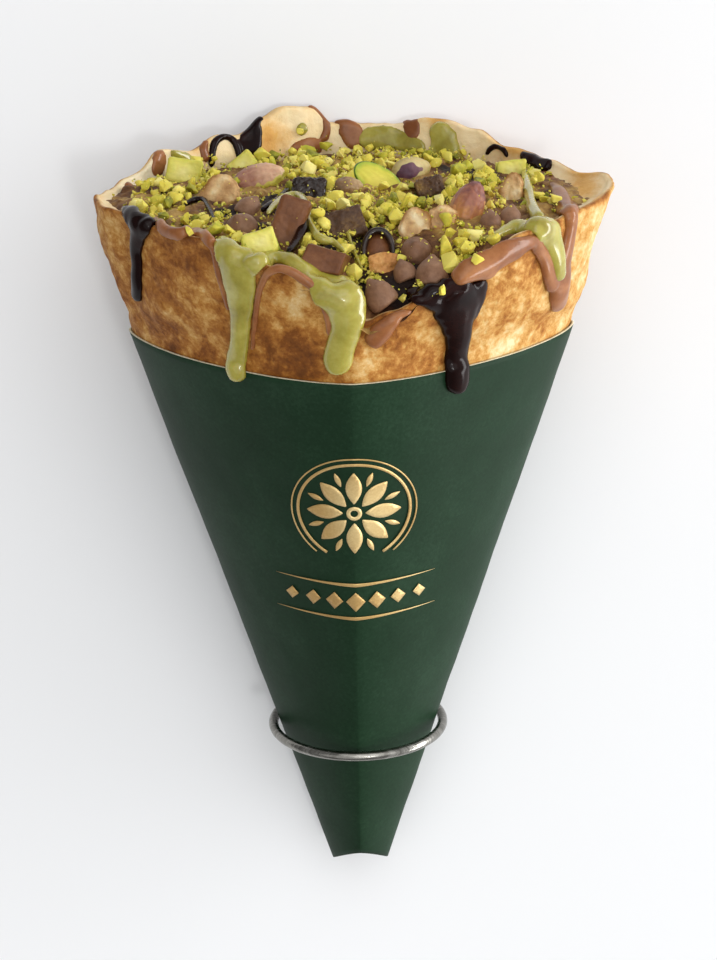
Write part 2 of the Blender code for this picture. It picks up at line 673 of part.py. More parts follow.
def chopped_places():
    """Where the chopped kernels lie: thick round a few spots and clear of the large pieces."""
    draw = random.Random(11)
    places = []
    tries = 0
    while len(places) < CHOPPED_COUNT and tries < 4000:
        tries += 1
        chance = draw.random()
        for x_spot, y_spot, spread, share in CHOPPED_SPOTS:
            chance -= share
            if chance < 0.0:
                break
        x = draw.gauss(x_spot, spread * 0.62)
        y = draw.gauss(y_spot, spread * 0.5)
        size = draw.uniform(*CHOPPED_SIZE)
        half_width = wrap_half_width(HEAP_OUTLINE_HEIGHT) - WRAP_THICKNESS - size
        half_depth = wrap_half_depth(HEAP_OUTLINE_HEIGHT) - WRAP_THICKNESS - size
        power = section_power(HEAP_OUTLINE_HEIGHT)
        if (abs(x) / half_width) ** power + (abs(y) / half_depth) ** power > 0.8:
            continue
        spot = Vector((x, y, 0.0))
        clear_of_large = all(
            (spot - Vector((*topping[3], 0.0)) - Vector((0.0, -2.0, 0.0))).length
            > 0.42 * max(topping[7]) + 0.5 * size
            for topping in TOPPINGS
        )
        clear_of_small = all((spot - other).length > 0.5 * (size + reach) for other, reach in places)
        if clear_of_large and clear_of_small:
            places.append((spot, size))
    return places


def chopped_mesh():
    bm = bmesh.new()
    draw = random.Random(5)
    for spot, size in chopped_places():
        made = bmesh.ops.create_icosphere(bm, subdivisions=1, radius=0.5)["verts"]
        stretch = Vector([draw.uniform(0.75, 1.2) * size for _ in range(3)])
        turn = Matrix.Rotation(draw.uniform(0.0, math.tau), 4, Vector((0.3, 0.5, 0.8)))
        centre = Vector((spot.x, spot.y, heap_height(spot.x, spot.y) + 0.25 * size))
        for vert in made:
            jitter = Vector([draw.uniform(-0.12, 0.12) for _ in range(3)])
            vert.co = centre + turn @ ((vert.co + jitter) * stretch)
    return bm


# Booleans are applied, and what they used is removed

def apply_boolean(target, helpers, operation):
    group = bpy.data.collections.new("helpers")
    bpy.context.scene.collection.children.link(group)
    for helper in helpers:
        helper.hide_render = True
        helper.display_type = "WIRE"
        for owner in list(helper.users_collection):
            owner.objects.unlink(helper)
        group.objects.link(helper)
    cut = target.modifiers.new("cut", "BOOLEAN")
    cut.operation = operation
    cut.operand_type = "COLLECTION"
    cut.collection = group
    cut.solver = "EXACT"
    bpy.context.view_layer.update()
    graph = bpy.context.evaluated_depsgraph_get()
    result = bpy.data.meshes.new_from_object(target.evaluated_get(graph))
    target.modifiers.clear()
    old = target.data
    target.data = result
    result.name = target.name
    bpy.data.meshes.remove(old)
    for helper in helpers:
        bpy.data.objects.remove(helper)
    bpy.data.collections.remove(group)


def keep_main_body(obj):
    """Drops the scraps that a cut leaves loose, and mends doubled points."""
    bm = bmesh.new()
    bm.from_mesh(obj.data)
    bmesh.ops.remove_doubles(bm, verts=bm.verts, dist=WELD)
    bmesh.ops.dissolve_degenerate(bm, edges=bm.edges, dist=WELD)
    bmesh.ops.triangulate(bm, faces=bm.faces)
    remaining = set(bm.faces)
    islands = []
    while remaining:
        stack = [remaining.pop()]
        island = list(stack)
        while stack:
            for edge in stack.pop().edges:
                for face in edge.link_faces:
                    if face in remaining:
                        remaining.remove(face)
                        stack.append(face)
                        island.append(face)
        islands.append(island)
    islands.sort(key=lambda island: sum(face.calc_area() for face in island))
    spare = [face for island in islands[:-1] for face in island]
    bmesh.ops.delete(bm, geom=spare, context="FACES")
    bm.to_mesh(obj.data)
    bm.free()


def clear_scene():
    for obj in list(bpy.data.objects):
        bpy.data.objects.remove(obj, do_unlink=True)


def make_cone_axis():
    """The empty at the sleeve's tip: it lays the cone down and centres it on the ground."""
    axis = bpy.data.objects.new("cone_axis", None)
    bpy.context.scene.collection.objects.link(axis)
    axis.rotation_euler = (LIE_TILT - math.pi / 2.0, 0.0, 0.0)
    axis.location = Vector(TIP_PLACE) * MM
    return axis


def main():
    clear_scene()
    noise.seed_set(BLOCK_SEED)
    make_cone_axis()
    materials = {
        "card": make_material("card", (0.035, 0.095, 0.06), 0.55),
        "steel": make_material("steel", (0.62, 0.62, 0.62), 0.3, 1.0),
        "crepe": make_material("crepe", (0.72, 0.42, 0.18), 0.6),
        "filling": make_material("filling", (0.45, 0.42, 0.1), 0.6),
        "pistachio_sauce": make_material("pistachio_sauce", (0.42, 0.46, 0.1), 0.25),
        "milk_sauce": make_material("milk_sauce", (0.3, 0.14, 0.08), 0.3),
        "dark_sauce": make_material("dark_sauce", (0.03, 0.012, 0.01), 0.12),
        "kernel_green": make_material("kernel_green", (0.5, 0.62, 0.08), 0.5),
        "kernel_skin": make_material("kernel_skin", (0.42, 0.26, 0.22), 0.55),
        "chip_chocolate": make_material("chip_chocolate", (0.13, 0.055, 0.035), 0.45),
        "chunk_chocolate": make_material("chunk_chocolate", (0.18, 0.08, 0.05), 0.4),
        "dark_chocolate": make_material("dark_chocolate", (0.035, 0.014, 0.01), 0.2),
        "crepe_scrap": make_material("crepe_scrap", (0.8, 0.58, 0.3), 0.6),
    }
    make_sleeve(materials["card"])
    make_ring(materials["steel"])
    lay_object("crepe_wrap", crepe_mesh(), materials["crepe"])
    filling = lay_object("filling", heap_mesh(), materials["filling"])
    chopped = lay_object("chopped", chopped_mesh(), materials["filling"])
    apply_boolean(filling, [chopped], "UNION")
    for topping in TOPPINGS:
        lay_object(topping[0], topping_mesh(topping, 0.0), materials[topping[2]])
    sockets = [
        lay_object("socket", topping_mesh(topping, GAP + SOCKET_PLAY), materials["filling"])
        for topping in TOPPINGS
    ]
    apply_boolean(filling, sockets, "DIFFERENCE")
    keep_main_body(filling)
    for sauce in SAUCES:
        run = lay_object(sauce[0], sauce_mesh(sauce), materials[sauce[1]])
        beds = [
            lay_object("bed", mesh, materials["filling"])
            for mesh in (crepe_mesh(GAP), heap_mesh(GAP), card_cone_mesh(GAP))
        ]
        apply_boolean(run, beds, "DIFFERENCE")
        keep_main_body(run)


main()
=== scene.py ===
"""The looks of a filled crepe cone in a card sleeve, lying on its back.

Shapes are worked out in millimetres in the cone's own frame: x to the right of its front,
y towards its back, z up its axis from the tip of the sleeve. finish_piece lays them down
in the frame of the solids, in metres.
"""

import math
import random

import bmesh
import bpy
from mathutils import Matrix, Vector, noise
from mathutils.bvhtree import BVHTree


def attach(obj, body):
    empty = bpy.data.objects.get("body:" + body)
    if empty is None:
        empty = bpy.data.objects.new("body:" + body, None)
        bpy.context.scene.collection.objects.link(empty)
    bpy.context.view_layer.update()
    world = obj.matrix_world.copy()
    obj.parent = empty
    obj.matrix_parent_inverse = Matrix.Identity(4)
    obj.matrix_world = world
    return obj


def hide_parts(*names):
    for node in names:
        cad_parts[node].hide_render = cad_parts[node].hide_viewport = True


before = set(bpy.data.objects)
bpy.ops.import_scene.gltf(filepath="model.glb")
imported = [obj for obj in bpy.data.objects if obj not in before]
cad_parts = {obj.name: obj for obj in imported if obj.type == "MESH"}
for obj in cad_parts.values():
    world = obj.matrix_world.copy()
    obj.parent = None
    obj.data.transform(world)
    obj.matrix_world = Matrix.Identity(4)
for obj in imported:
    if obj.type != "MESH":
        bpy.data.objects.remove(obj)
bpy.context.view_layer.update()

# The cone's own sizes, in millimetres
MM = 0.001
SLEEVE_HEIGHT = 172.0
SLEEVE_TIP_HALF_WIDTH = 8.6
SLEEVE_TIP_HALF_DEPTH = 9.5
SLEEVE_HALF_WIDTH = 65.0
SLEEVE_HALF_DEPTH = 60.0
CARD_THICKNESS = 0.6
TIP_ARCH = 7.0
RING_HEIGHT = 46.5
RING_RADIUS = 25.9
RING_WIRE_RADIUS = 1.45
WRAP_FOOT = 40.0
WRAP_FLARE_WIDTH = 0.262
WRAP_FLARE_DEPTH = 0.23
WRAP_INSET = 1.25
WRAP_THICKNESS = 3.2
POCKET_FLOOR = 190.0
HEAP_CENTRE = 211.0
HEAP_OUTLINE_HEIGHT = 205.0
LIP_ROUNDING = 3.0
LIE_TILT = math.radians(13.5)
GROUND_AT_TIP = 16.23
GROUND_SLOPE = math.tan(LIE_TILT)
TIP_PLACE = Vector((-1.460, -117.046, GROUND_AT_TIP * math.cos(LIE_TILT)))
BLOCK_SEED = 9
BLOCK_SKEW = 0.22
CHOPPED_SEED = 31
CRUMB_SEED = 12
LAY_DOWN = (
    Matrix.Translation(TIP_PLACE * MM)
    @ Matrix.Rotation(LIE_TILT - math.pi / 2.0, 4, "X")
    @ Matrix.Scale(MM, 4)
)

# The crepe's torn rim: degrees round the cone (-90 the front, 90 the back) and height
RIM_POINTS = (
    (-180.0, 212.0), (-156.0, 213.0), (-131.0, 211.0), (-110.0, 205.5), (-96.0, 199.0),
    (-84.0, 190.5), (-76.0, 193.0), (-66.0, 198.0), (-57.0, 204.0), (-45.0, 209.5),
    (-24.0, 211.0), (0.0, 213.5), (10.0, 214.5), (23.0, 212.5), (31.0, 214.0), (46.0, 215.6),
    (53.0, 219.5), (63.0, 221.6), (76.0, 219.2), (85.0, 218.8), (91.0, 219.8), (97.0, 219.2),
    (103.0, 224.6), (110.0, 225.2), (115.0, 222.4), (122.0, 217.8), (127.0, 219.2),
    (134.0, 215.6), (142.0, 217.8), (151.0, 212.8), (165.0, 211.0), (180.0, 212.0),
)

# The camera, set as the photograph was taken: pitch and roll against the cone's axis
CAMERA_PITCH = math.radians(19.0)
CAMERA_ROLL = math.radians(0.96)
CAMERA_PLACE = Vector((1.35, -712.0, 369.6))
CAMERA_LENS = 95.1
TO_EATER = Vector((0.0, -math.cos(CAMERA_PITCH), math.sin(CAMERA_PITCH)))
ACROSS = Vector((1.0, 0.0, 0.0))
UPWARDS = TO_EATER.cross(ACROSS)


def clamp(value, low=0.0, high=1.0):
    return max(low, min(high, value))


def smooth(value):
    t = clamp(value)
    return t * t * (3.0 - 2.0 * t)


def mix(start, end, share):
    return start + (end - start) * share


def bump(value, centre, width):
    return math.exp(-(((value - centre) / width) ** 2))


def signed_power(value, power):
    return math.copysign(abs(value) ** power, value)


def along(points, value):
    """Reads a smooth curve through (place, height) points."""
    for (start, low), (end, high) in zip(points, points[1:]):
        if value <= end:
            return mix(low, high, smooth((value - start) / (end - start)))
    return points[-1][1]


def grain(x, y, z, size):
    """Soft noise between -1 and 1 with lumps of about that size."""
    return noise.noise(Vector((x, y, z)) / size)


# The flattened cone's section, as the solids have it

def sleeve_half_width(z):
    return mix(SLEEVE_TIP_HALF_WIDTH, SLEEVE_HALF_WIDTH, z / SLEEVE_HEIGHT)


def sleeve_half_depth(z):
    return mix(SLEEVE_TIP_HALF_DEPTH, SLEEVE_HALF_DEPTH, z / SLEEVE_HEIGHT)


def section_power(z):
    in_card = mix(1.34, 1.45, clamp(z / SLEEVE_HEIGHT))
    return in_card + 0.17 * smooth((z - SLEEVE_HEIGHT) / 30.0)


def ground_depth(z):
    return GROUND_AT_TIP + GROUND_SLOPE * z


def section_point(angle, z, half_width, half_depth):
    power = 2.0 / section_power(z)
    x = half_width * signed_power(math.cos(angle), power)
    y = half_depth * signed_power(math.sin(angle), power)
    return x, y


def section_angle(x, y, z, half_width, half_depth):
    power = section_power(z) / 2.0
    return math.atan2(signed_power(y / half_depth, power), signed_power(x / half_width, power))


def section_reach(x, y, z, half_width, half_depth):
    """How far out a place lies: 0 on the axis, 1 on the section's outline."""
    power = section_power(z)
    return (abs(x / half_width) ** power + abs(y / half_depth) ** power) ** (1.0 / power)


def sleeve_front(x, z, proud):
    """The y of the sleeve's front face at x, z."""
    power = section_power(z)
    reach = clamp(abs(x) / sleeve_half_width(z), 0.0, 0.999)
    return -sleeve_half_depth(z) * (1.0 - reach ** power) ** (1.0 / power) - proud


def wrap_half_width(z):
    above = max(0.0, z - SLEEVE_HEIGHT)
    return sleeve_half_width(min(z, SLEEVE_HEIGHT)) - WRAP_INSET + WRAP_FLARE_WIDTH * above


def wrap_half_depth(z):
    above = max(0.0, z - SLEEVE_HEIGHT)
    return sleeve_half_depth(min(z, SLEEVE_HEIGHT)) - WRAP_INSET + WRAP_FLARE_DEPTH * above


def rim_height(angle):
    return along(RIM_POINTS, math.degrees(angle))


def wall_relief(angle, z):
    free = smooth((z - SLEEVE_HEIGHT - 2.0) / 12.0)
    degrees = math.degrees(angle)
    lap_edge = -41.0 + 0.55 * (z - SLEEVE_HEIGHT)
    lap = 1.3 * smooth((degrees - lap_edge) / 5.0) * smooth((28.0 - degrees) / 12.0)
    pleat_edge = -160.0 + 0.18 * (z - SLEEVE_HEIGHT)
    pleat = -1.2 * bump(degrees, pleat_edge, 4.0) + 0.8 * bump(degrees, pleat_edge - 9.0, 6.0)
    waves = 0.7 * math.sin(3.0 * angle + 0.12 * z) + 0.5 * math.sin(7.0 * angle - 0.2 * z)
    return free * (lap + pleat + waves)


def wrap_point(angle, z, inset, proud=0.0):
    """A point of the crepe's outer wall, or of a wall inset from it."""
    half_width = wrap_half_width(z) - inset
    half_depth = wrap_half_depth(z) - inset
    x, y = section_point(angle, z, half_width, half_depth)
    reach = math.hypot(x, y)
    grow = (reach + wall_relief(angle, z) + proud) / reach
    card = CARD_THICKNESS + 0.3 if z < SLEEVE_HEIGHT + 1.0 else 0.15
    return Vector((x * grow, min(y * grow, ground_depth(z) - inset - card), z))


def rim_thickness(angle):
    degrees = math.degrees(angle)
    return WRAP_THICKNESS + 2.4 * bump(degrees, 108.0, 12.0) + 0.8 * bump(degrees, 62.0, 9.0)


def heap_edge(angle):
    front = min(rim_height(angle) - 2.5, 209.0)
    return mix(front, 210.0, smooth(0.5 + 1.1 * math.sin(angle)))


def heap_reach(x, y):
    """How far out on the filling a place lies, 0 in the middle to 1 at the wall, and its angle."""
    z = HEAP_OUTLINE_HEIGHT
    half_width = wrap_half_width(z) - WRAP_THICKNESS
    half_depth = wrap_half_depth(z) - WRAP_THICKNESS
    reach = section_reach(x, y, z, half_width, half_depth)
    return reach, section_angle(x, y, z, half_width, half_depth)


def heap_height(x, y):
    reach, angle = heap_reach(x, y)
    lumps = 1.2 * noise.noise(Vector((x * 0.09, y * 0.09, 3.0)))
    return mix(HEAP_CENTRE, heap_edge(angle), min(reach, 1.1) ** 1.8) + lumps


def past_wall(x, y, z, half_width, half_depth):
    """How far a place lies outside a wall of the crepe, and its angle round the cone."""
    reach = max(section_reach(x, y, z, half_width, half_depth), 0.01)
    angle = section_angle(x, y, z, half_width, half_depth)
    return (reach - 1.0) * math.hypot(x, y) / reach - wall_relief(angle, z), angle


def skin_distance(point):
    """Rough height of a point above the card, the bare crepe and the filling."""
    x, y, z = point
    past_card = smooth((z - SLEEVE_HEIGHT - 0.6) / 2.6)
    half_width = mix(sleeve_half_width(z) + 0.1, wrap_half_width(z), past_card)
    half_depth = mix(sleeve_half_depth(z) + 0.1, wrap_half_depth(z), past_card)
    outside, angle = past_wall(x, y, z, half_width, half_depth)
    inwards = smooth((-outside - rim_thickness(angle) + 1.0) / 3.0)
    over = z - mix(rim_height(angle), heap_height(x, y), inwards)
    share = clamp(0.5 + 0.5 * (outside - over) / LIP_ROUNDING)
    return mix(over, outside, share) + 0.5 * LIP_ROUNDING * share * (1.0 - share)


def skin_slope(point):
    step = 0.4
    slope = []
    for axis in range(3):
        shift = Vector((0.0, 0.0, 0.0))
        shift[axis] = step
        slope.append((skin_distance(point + shift) - skin_distance(point - shift)) / (2.0 * step))
    return Vector(slope)


def on_skin(point, height):
    """Moves a point to a given height above the skin."""
    for _ in range(9):
        slope = skin_slope(point)
        steep = max(slope.length, 0.3)
        point = point + slope / steep * clamp(height - skin_distance(point) / steep, -2.5, 2.5)
    return point


# What the camera sees: places in its frame of 717 by 960 steps

VIEW_SCALE = 2536.0
VIEW_MIDDLE = (358.5, 480.0)
VIEW_NEAR = 620.0
VIEW_FAR = 860.0
STEP = 1.0 / 3.45


def view_axes():
    right = ACROSS * math.cos(CAMERA_ROLL) - UPWARDS * math.sin(CAMERA_ROLL)
    up = UPWARDS * math.cos(CAMERA_ROLL) + ACROSS * math.sin(CAMERA_ROLL)
    return right, up


def view_way(across, down):
    right, up = view_axes()
    way = -TO_EATER + right * (across - VIEW_MIDDLE[0]) / VIEW_SCALE
    return (way - up * (down - VIEW_MIDDLE[1]) / VIEW_SCALE).normalized()


def seen(across, down, lift=0.0):
    """The point of the skin at a place of the front view, lifted towards the eater."""
    way = view_way(across, down)
    reach = VIEW_NEAR
    nearest = (math.inf, reach)
    while reach < VIEW_FAR:
        gap = skin_distance(CAMERA_PLACE + way * reach)
        nearest = min(nearest, (gap, reach))
        if gap < 0.05:
            break
        reach += max(0.5 * gap, 0.15)
    return CAMERA_PLACE + way * nearest[1] + TO_EATER * lift


def in_view(point):
    """Where the camera sees a point, in its own frame of 717 by 960."""
    right, up = view_axes()
    way = point - CAMERA_PLACE
    depth = -way.dot(TO_EATER)
    return (
        VIEW_MIDDLE[0] + VIEW_SCALE * way.dot(right) / depth,
        VIEW_MIDDLE[1] - VIEW_SCALE * way.dot(up) / depth,
    )


# Camera, light and floor

def put_in_scene(name, data):
    obj = bpy.data.objects.new(name, data)
    bpy.context.scene.collection.objects.link(obj)
    return obj


def make_camera():
    right, up = view_axes()
    turn = Matrix((right, up, TO_EATER)).transposed().to_4x4()
    data = bpy.data.cameras.new("camera")
    data.sensor_fit = "AUTO"
    data.sensor_width = 36.0
    data.lens = CAMERA_LENS
    data.clip_start = 0.02
    data.clip_end = 20.0
    camera = put_in_scene("camera", data)
    place = LAY_DOWN @ CAMERA_PLACE
    lie = Matrix.Rotation(LIE_TILT - math.pi / 2.0, 4, "X")
    camera.matrix_world = Matrix.Translation(place) @ lie @ turn
    bpy.context.scene.camera = camera


ROOM_BRIGHT_SIDE = Vector((0.95, 0.0, -0.1))
ROOM_DIM = 0.27
ROOM_BRIGHT = 0.82

# Soft suns: the way their light falls, power and angular width in degrees
SUNS = (
    ("sun_right", (-0.30, -0.10, -0.94), 0.66, 55.0),
    ("sun_behind", (-0.08, -0.56, -0.82), 0.58, 50.0),
    ("sun_front_left", (0.20, 0.28, -0.94), 0.6, 70.0),
    ("sun_glints", (-0.22, 0.20, -0.95), 0.34, 5.0),
)
SIDE_BOX_POWER = 13.0
SIDE_BOX_SIZE = (1.5, 0.3)
SIDE_BOX_PLACE = Vector((1.1, 0.0, 0.17))
SIDE_BOX_AIM = Vector((0.0, 0.0, 0.07))


def add_light(name, kind, power, way):
    """A light that shines along a given way."""
    data = bpy.data.lights.new(name, kind)
    data.energy = power
    light = put_in_scene(name, data)
    light.rotation_mode = "QUATERNION"
    light.rotation_quaternion = Vector(way).to_track_quat("-Z", "Y")
    return light


def make_light():
    """A dim pale room, brighter low on the right, with broad soft suns and one soft box."""
    world = bpy.data.worlds.new("studio")
    bpy.context.scene.world = world
    world.use_nodes = True
    nodes, links = world.node_tree.nodes, world.node_tree.links
    nodes.clear()
    output = nodes.new("ShaderNodeOutputWorld")
    background = nodes.new("ShaderNodeBackground")
    place = nodes.new("ShaderNodeTexCoord")
    split = nodes.new("ShaderNodeVectorMath")
    split.operation = "DOT_PRODUCT"
    split.inputs[1].default_value = ROOM_BRIGHT_SIDE.normalized()
    ramp = nodes.new("ShaderNodeMapRange")
    ramp.interpolation_type = "SMOOTHSTEP"
    ramp.inputs["From Min"].default_value = 0.0
    ramp.inputs["From Max"].default_value = 0.95
    ramp.inputs["To Min"].default_value = ROOM_DIM
    ramp.inputs["To Max"].default_value = ROOM_BRIGHT
    links.new(place.outputs["Generated"], split.inputs[0])
    links.new(split.outputs["Value"], ramp.inputs["Value"])
    links.new(ramp.outputs["Result"], background.inputs["Strength"])
    background.inputs["Color"].default_value = (0.985, 0.99, 1.0, 1.0)
    links.new(background.outputs["Background"], output.inputs["Surface"])
    bpy.context.scene.view_settings.view_transform = "Standard"
    for name, way, power, width in SUNS:
        add_light(name, "SUN", power, way).data.angle = math.radians(width)
    box = add_light("side_box", "AREA", SIDE_BOX_POWER, SIDE_BOX_AIM - SIDE_BOX_PLACE)
    box.location = SIDE_BOX_PLACE
    box.data.shape = "RECTANGLE"
    box.data.size, box.data.size_y = SIDE_BOX_SIZE


FLOOR_HALF_SIZE = 6.0
FLOOR_DROP = 0.0002


def make_floor():
    bm = bmesh.new()
    bmesh.ops.create_grid(bm, x_segments=2, y_segments=2, size=FLOOR_HALF_SIZE)
    mesh = bpy.data.meshes.new("floor")
    bm.to_mesh(mesh)
    bm.free()
    floor = put_in_scene("floor", mesh)
    mesh.materials.append(plain_material("pale_floor", (0.85, 0.856, 0.866), 0.8))
    floor.location.z = -FLOOR_DROP


# Materials

def plain_material(name, colour, roughness):
    material = bpy.data.materials.new(name)
    material.use_nodes = True
    shader = material.node_tree.nodes["Principled BSDF"]
    shader.inputs["Base Color"].default_value = (*colour, 1.0)
    shader.inputs["Roughness"].default_value = roughness
    return material


def from_screen(colour):
    """A colour as read off a screen, 0 to 255, as the linear colour that a shader takes."""
    linear = [c / 255.0 / 12.92 if c < 10 else ((c / 255.0 + 0.055) / 1.055) ** 2.4 for c in colour]
    return (*linear, 1.0)


class Finish:
    """A material built up step by step round one Principled shader."""

    def __init__(self, name, roughness=0.5, **sockets):
        self.material = bpy.data.materials.new(name)
        self.material.use_nodes = True
        self.nodes = self.material.node_tree.nodes
        self.links = self.material.node_tree.links
        self.shader = self.nodes["Principled BSDF"]
        self.shader.inputs["Roughness"].default_value = roughness
        self.shader.inputs["Specular IOR Level"].default_value = 0.25
        for socket, value in sockets.items():
            self.shader.inputs[socket.replace("_", " ")].default_value = value
        self.place = self.nodes.new("ShaderNodeTexCoord").outputs["Object"]

    def noise(self, scale, detail=4.0, roughness=0.55, distortion=0.0, stretch=None):
        texture = self.nodes.new("ShaderNodeTexNoise")
        texture.inputs["Scale"].default_value = scale
        texture.inputs["Detail"].default_value = detail
        texture.inputs["Roughness"].default_value = roughness
        texture.inputs["Distortion"].default_value = distortion
        source = self.place
        if stretch:
            mapping = self.nodes.new("ShaderNodeMapping")
            mapping.inputs["Scale"].default_value = stretch
            self.links.new(source, mapping.inputs["Vector"])
            source = mapping.outputs["Vector"]
        self.links.new(source, texture.inputs["Vector"])
        return texture.outputs["Fac"]

    def cells(self, scale):
        texture = self.nodes.new("ShaderNodeTexVoronoi")
        texture.inputs["Scale"].default_value = scale
        self.links.new(self.place, texture.inputs["Vector"])
        return texture.outputs["Distance"]

    def attribute(self, name):
        node = self.nodes.new("ShaderNodeAttribute")
        node.attribute_name = name
        return node.outputs["Fac"]

    def ramp(self, value, stops):
        """Colours, read off a screen, along a value."""
        node = self.nodes.new("ShaderNodeValToRGB")
        ramp = node.color_ramp
        while len(ramp.elements) < len(stops):
            ramp.elements.new(0.5)
        for element, (place, colour) in zip(ramp.elements, stops):
            element.position = place
            element.color = from_screen(colour)
        self.links.new(value, node.inputs["Fac"])
        return node.outputs["Color"]

    def curve(self, value, low, high, to_low=0.0, to_high=1.0):
        node = self.nodes.new("ShaderNodeMapRange")
        node.interpolation_type = "SMOOTHSTEP"
        ends = {"From Min": low, "From Max": high, "To Min": to_low, "To Max": to_high}
        for socket, number in ends.items():
            node.inputs[socket].default_value = number
        self.links.new(value, node.inputs["Value"])
        return node.outputs["Result"]

    def sum(self, *terms):
        """Adds (value, weight) pairs."""
        total = None
        for value, weight in terms:
            node = self.nodes.new("ShaderNodeMath")
            node.operation = "MULTIPLY_ADD"
            node.inputs[1].default_value = weight
            self.links.new(value, node.inputs[0])
            if total is None:
                node.inputs[2].default_value = 0.0
            else:
                self.links.new(total, node.inputs[2])
            total = node.outputs["Value"]
        return total

    def blend(self, share, first, second):
        node = self.nodes.new("ShaderNodeMix")
        node.data_type = "RGBA"
        self.links.new(share, node.inputs["Factor"])
        for socket, colour in ((node.inputs["A"], first), (node.inputs["B"], second)):
            if isinstance(colour, tuple):
                socket.default_value = from_screen(colour)
            else:
                self.links.new(colour, socket)
        return node.outputs["Result"]

    def colour(self, value):
        self.links.new(value, self.shader.inputs["Base Color"])

    def rough(self, value):
        self.links.new(value, self.shader.inputs["Roughness"])

    def relief(self, value, depth, strength):
        """Bump of a given depth in millimetres."""
        node = self.nodes.new("ShaderNodeBump")
        node.inputs["Strength"].default_value = strength
        node.inputs["Distance"].default_value = depth * MM
        self.links.new(value, node.inputs["Height"])
        self.links.new(node.outputs["Normal"], self.shader.inputs["Normal"])


def card_finishes():
    """Green printed card, its pale cut edge and its plain inner side."""
    green = Finish("green_card", 0.5, Specular_IOR_Level=0.1)
    fibres = green.noise(900.0, 5.0, 0.65, 0.3)
    clouds = green.noise(45.0, 3.0, 0.5)
    tone = green.sum((fibres, 0.5), (clouds, 0.5))
    green.colour(green.ramp(tone, ((0.3, (18, 40, 23)), (0.52, (25, 49, 31)), (0.7, (35, 60, 41)))))
    green.relief(fibres, 0.05, 0.6)
    edge = Finish("card_cut_edge", 0.8)
    edge.colour(edge.ramp(edge.noise(1500.0), ((0.3, (190, 182, 150)), (0.7, (232, 226, 204)))))
    inner = Finish("card_inner_side", 0.8)
    inner.colour(inner.ramp(inner.noise(700.0), ((0.3, (150, 148, 122)), (0.7, (178, 174, 150)))))
    return [green.material, edge.material, inner.material]


def steel_finish():
    steel = Finish("polished_steel", 0.22, Metallic=1.0)
    drawn = steel.noise(160.0, 3.0, 0.6, 0.0, (1.0, 1.0, 9.0))
    steel.colour(steel.ramp(drawn, ((0.3, (112, 110, 104)), (0.7, (160, 158, 152)))))
    steel.rough(steel.curve(drawn, 0.3, 0.7, 0.16, 0.3))
    return steel.material


def foil_finish():
    foil = Finish("gold_foil", 0.36, Metallic=0.35)
    # Broad bands of darker and brighter gold across the leaf: a painted sheen
    painted_sheen = foil.noise(38.0, 1.0, 0.4, 0.0, (1.0, 0.25, 1.0))
    specks = foil.noise(1600.0, 3.0, 0.6)
    tone = foil.sum((painted_sheen, 0.85), (specks, 0.15))
    foil.colour(foil.ramp(tone, ((0.34, (160, 124, 74)), (0.5, (196, 160, 100)), (0.66, (232, 205, 146)))))
    foil.relief(specks, 0.02, 0.5)
    return foil.material


def crepe_finish(name):
    """Golden pancake: browned in patches and freckles on its outside, with painted shade on its shaded left
    and painted light on its front-right, cream and amber on its inside.
    """
    crepe = Finish(name, 0.7, Specular_IOR_Level=0.22, Subsurface_Weight=0.05, Subsurface_Scale=0.004)
    patches = crepe.noise(34.0, 2.0, 0.5, 0.4)
    mottle = crepe.noise(150.0, 9.0, 0.74, 0.2)
    freckles = crepe.noise(420.0, 3.0, 0.6, 0.0)
    fine = crepe.noise(1100.0, 4.0, 0.65, 0.0)
    bubbles = crepe.curve(crepe.cells(300.0), 0.08, 0.42, 1.0, 0.0)
    # This attribute holds real browning together with painted shade and painted light
    bake_and_shade = crepe.attribute("bake_and_shade")
    tone = crepe.sum(
        (patches, 0.36), (mottle, 0.78), (freckles, 0.16), (fine, 0.1), (bubbles, -0.05), (bake_and_shade, 0.6),
    )
    outside = crepe.ramp(tone, (
        (0.50, (224, 204, 158)), (0.60, (210, 172, 110)), (0.67, (194, 144, 74)),
        (0.75, (164, 106, 42)), (0.84, (128, 74, 24)), (0.97, (84, 46, 16)),
    ))
    inner_tone = crepe.sum((patches, 0.45), (mottle, 0.4), (fine, 0.06), (bake_and_shade, 0.6))
    inside = crepe.ramp(inner_tone, (
        (0.30, (246, 230, 196)), (0.50, (240, 214, 166)), (0.66, (222, 172, 98)), (0.86, (186, 122, 48)),
    ))
    crepe.colour(crepe.blend(crepe.attribute("inside"), outside, inside))
    crepe.rough(crepe.curve(mottle, 0.3, 0.7, 0.6, 0.78))
    crepe.relief(crepe.sum((mottle, 0.8), (freckles, 0.35), (bubbles, -0.25), (fine, 0.2)), 1.0, 0.6)
    return crepe.material


def sauce_finish(name, stops, roughness, coat, scatter):
    sauce = Finish(
        name, roughness, Coat_Weight=coat, Coat_Roughness=0.06, Specular_IOR_Level=0.08 + 0.4 * coat,
        Subsurface_Weight=scatter, Subsurface_Scale=0.003,
    )
    swirl = sauce.noise(70.0, 3.0, 0.5, 1.0)
    specks = sauce.noise(650.0, 4.0, 0.6)
    sauce.colour(sauce.ramp(sauce.sum((swirl, 0.75), (specks, 0.25)), stops))
    sauce.relief(specks, 0.06, 0.35)
    return sauce.material


def nut_finish():
    """Chopped pistachio: each piece its own green, cut faces paler, skins brown to purple."""
    nut = Finish("chopped_pistachio", 0.55, Subsurface_Weight=0.08, Subsurface_Scale=0.002)
    tone = nut.sum((nut.attribute("tint"), 0.66), (nut.noise(300.0, 5.0, 0.65), 0.4))
    nut.colour(nut.ramp(tone, (
        (0.08, (104, 72, 50)), (0.2, (118, 120, 40)), (0.32, (176, 172, 50)), (0.5, (222, 206, 78)),
        (0.7, (234, 220, 108)), (0.95, (242, 230, 156)),
    )))
    nut.relief(nut.noise(800.0, 5.0, 0.65), 0.25, 0.8)
    return nut.material


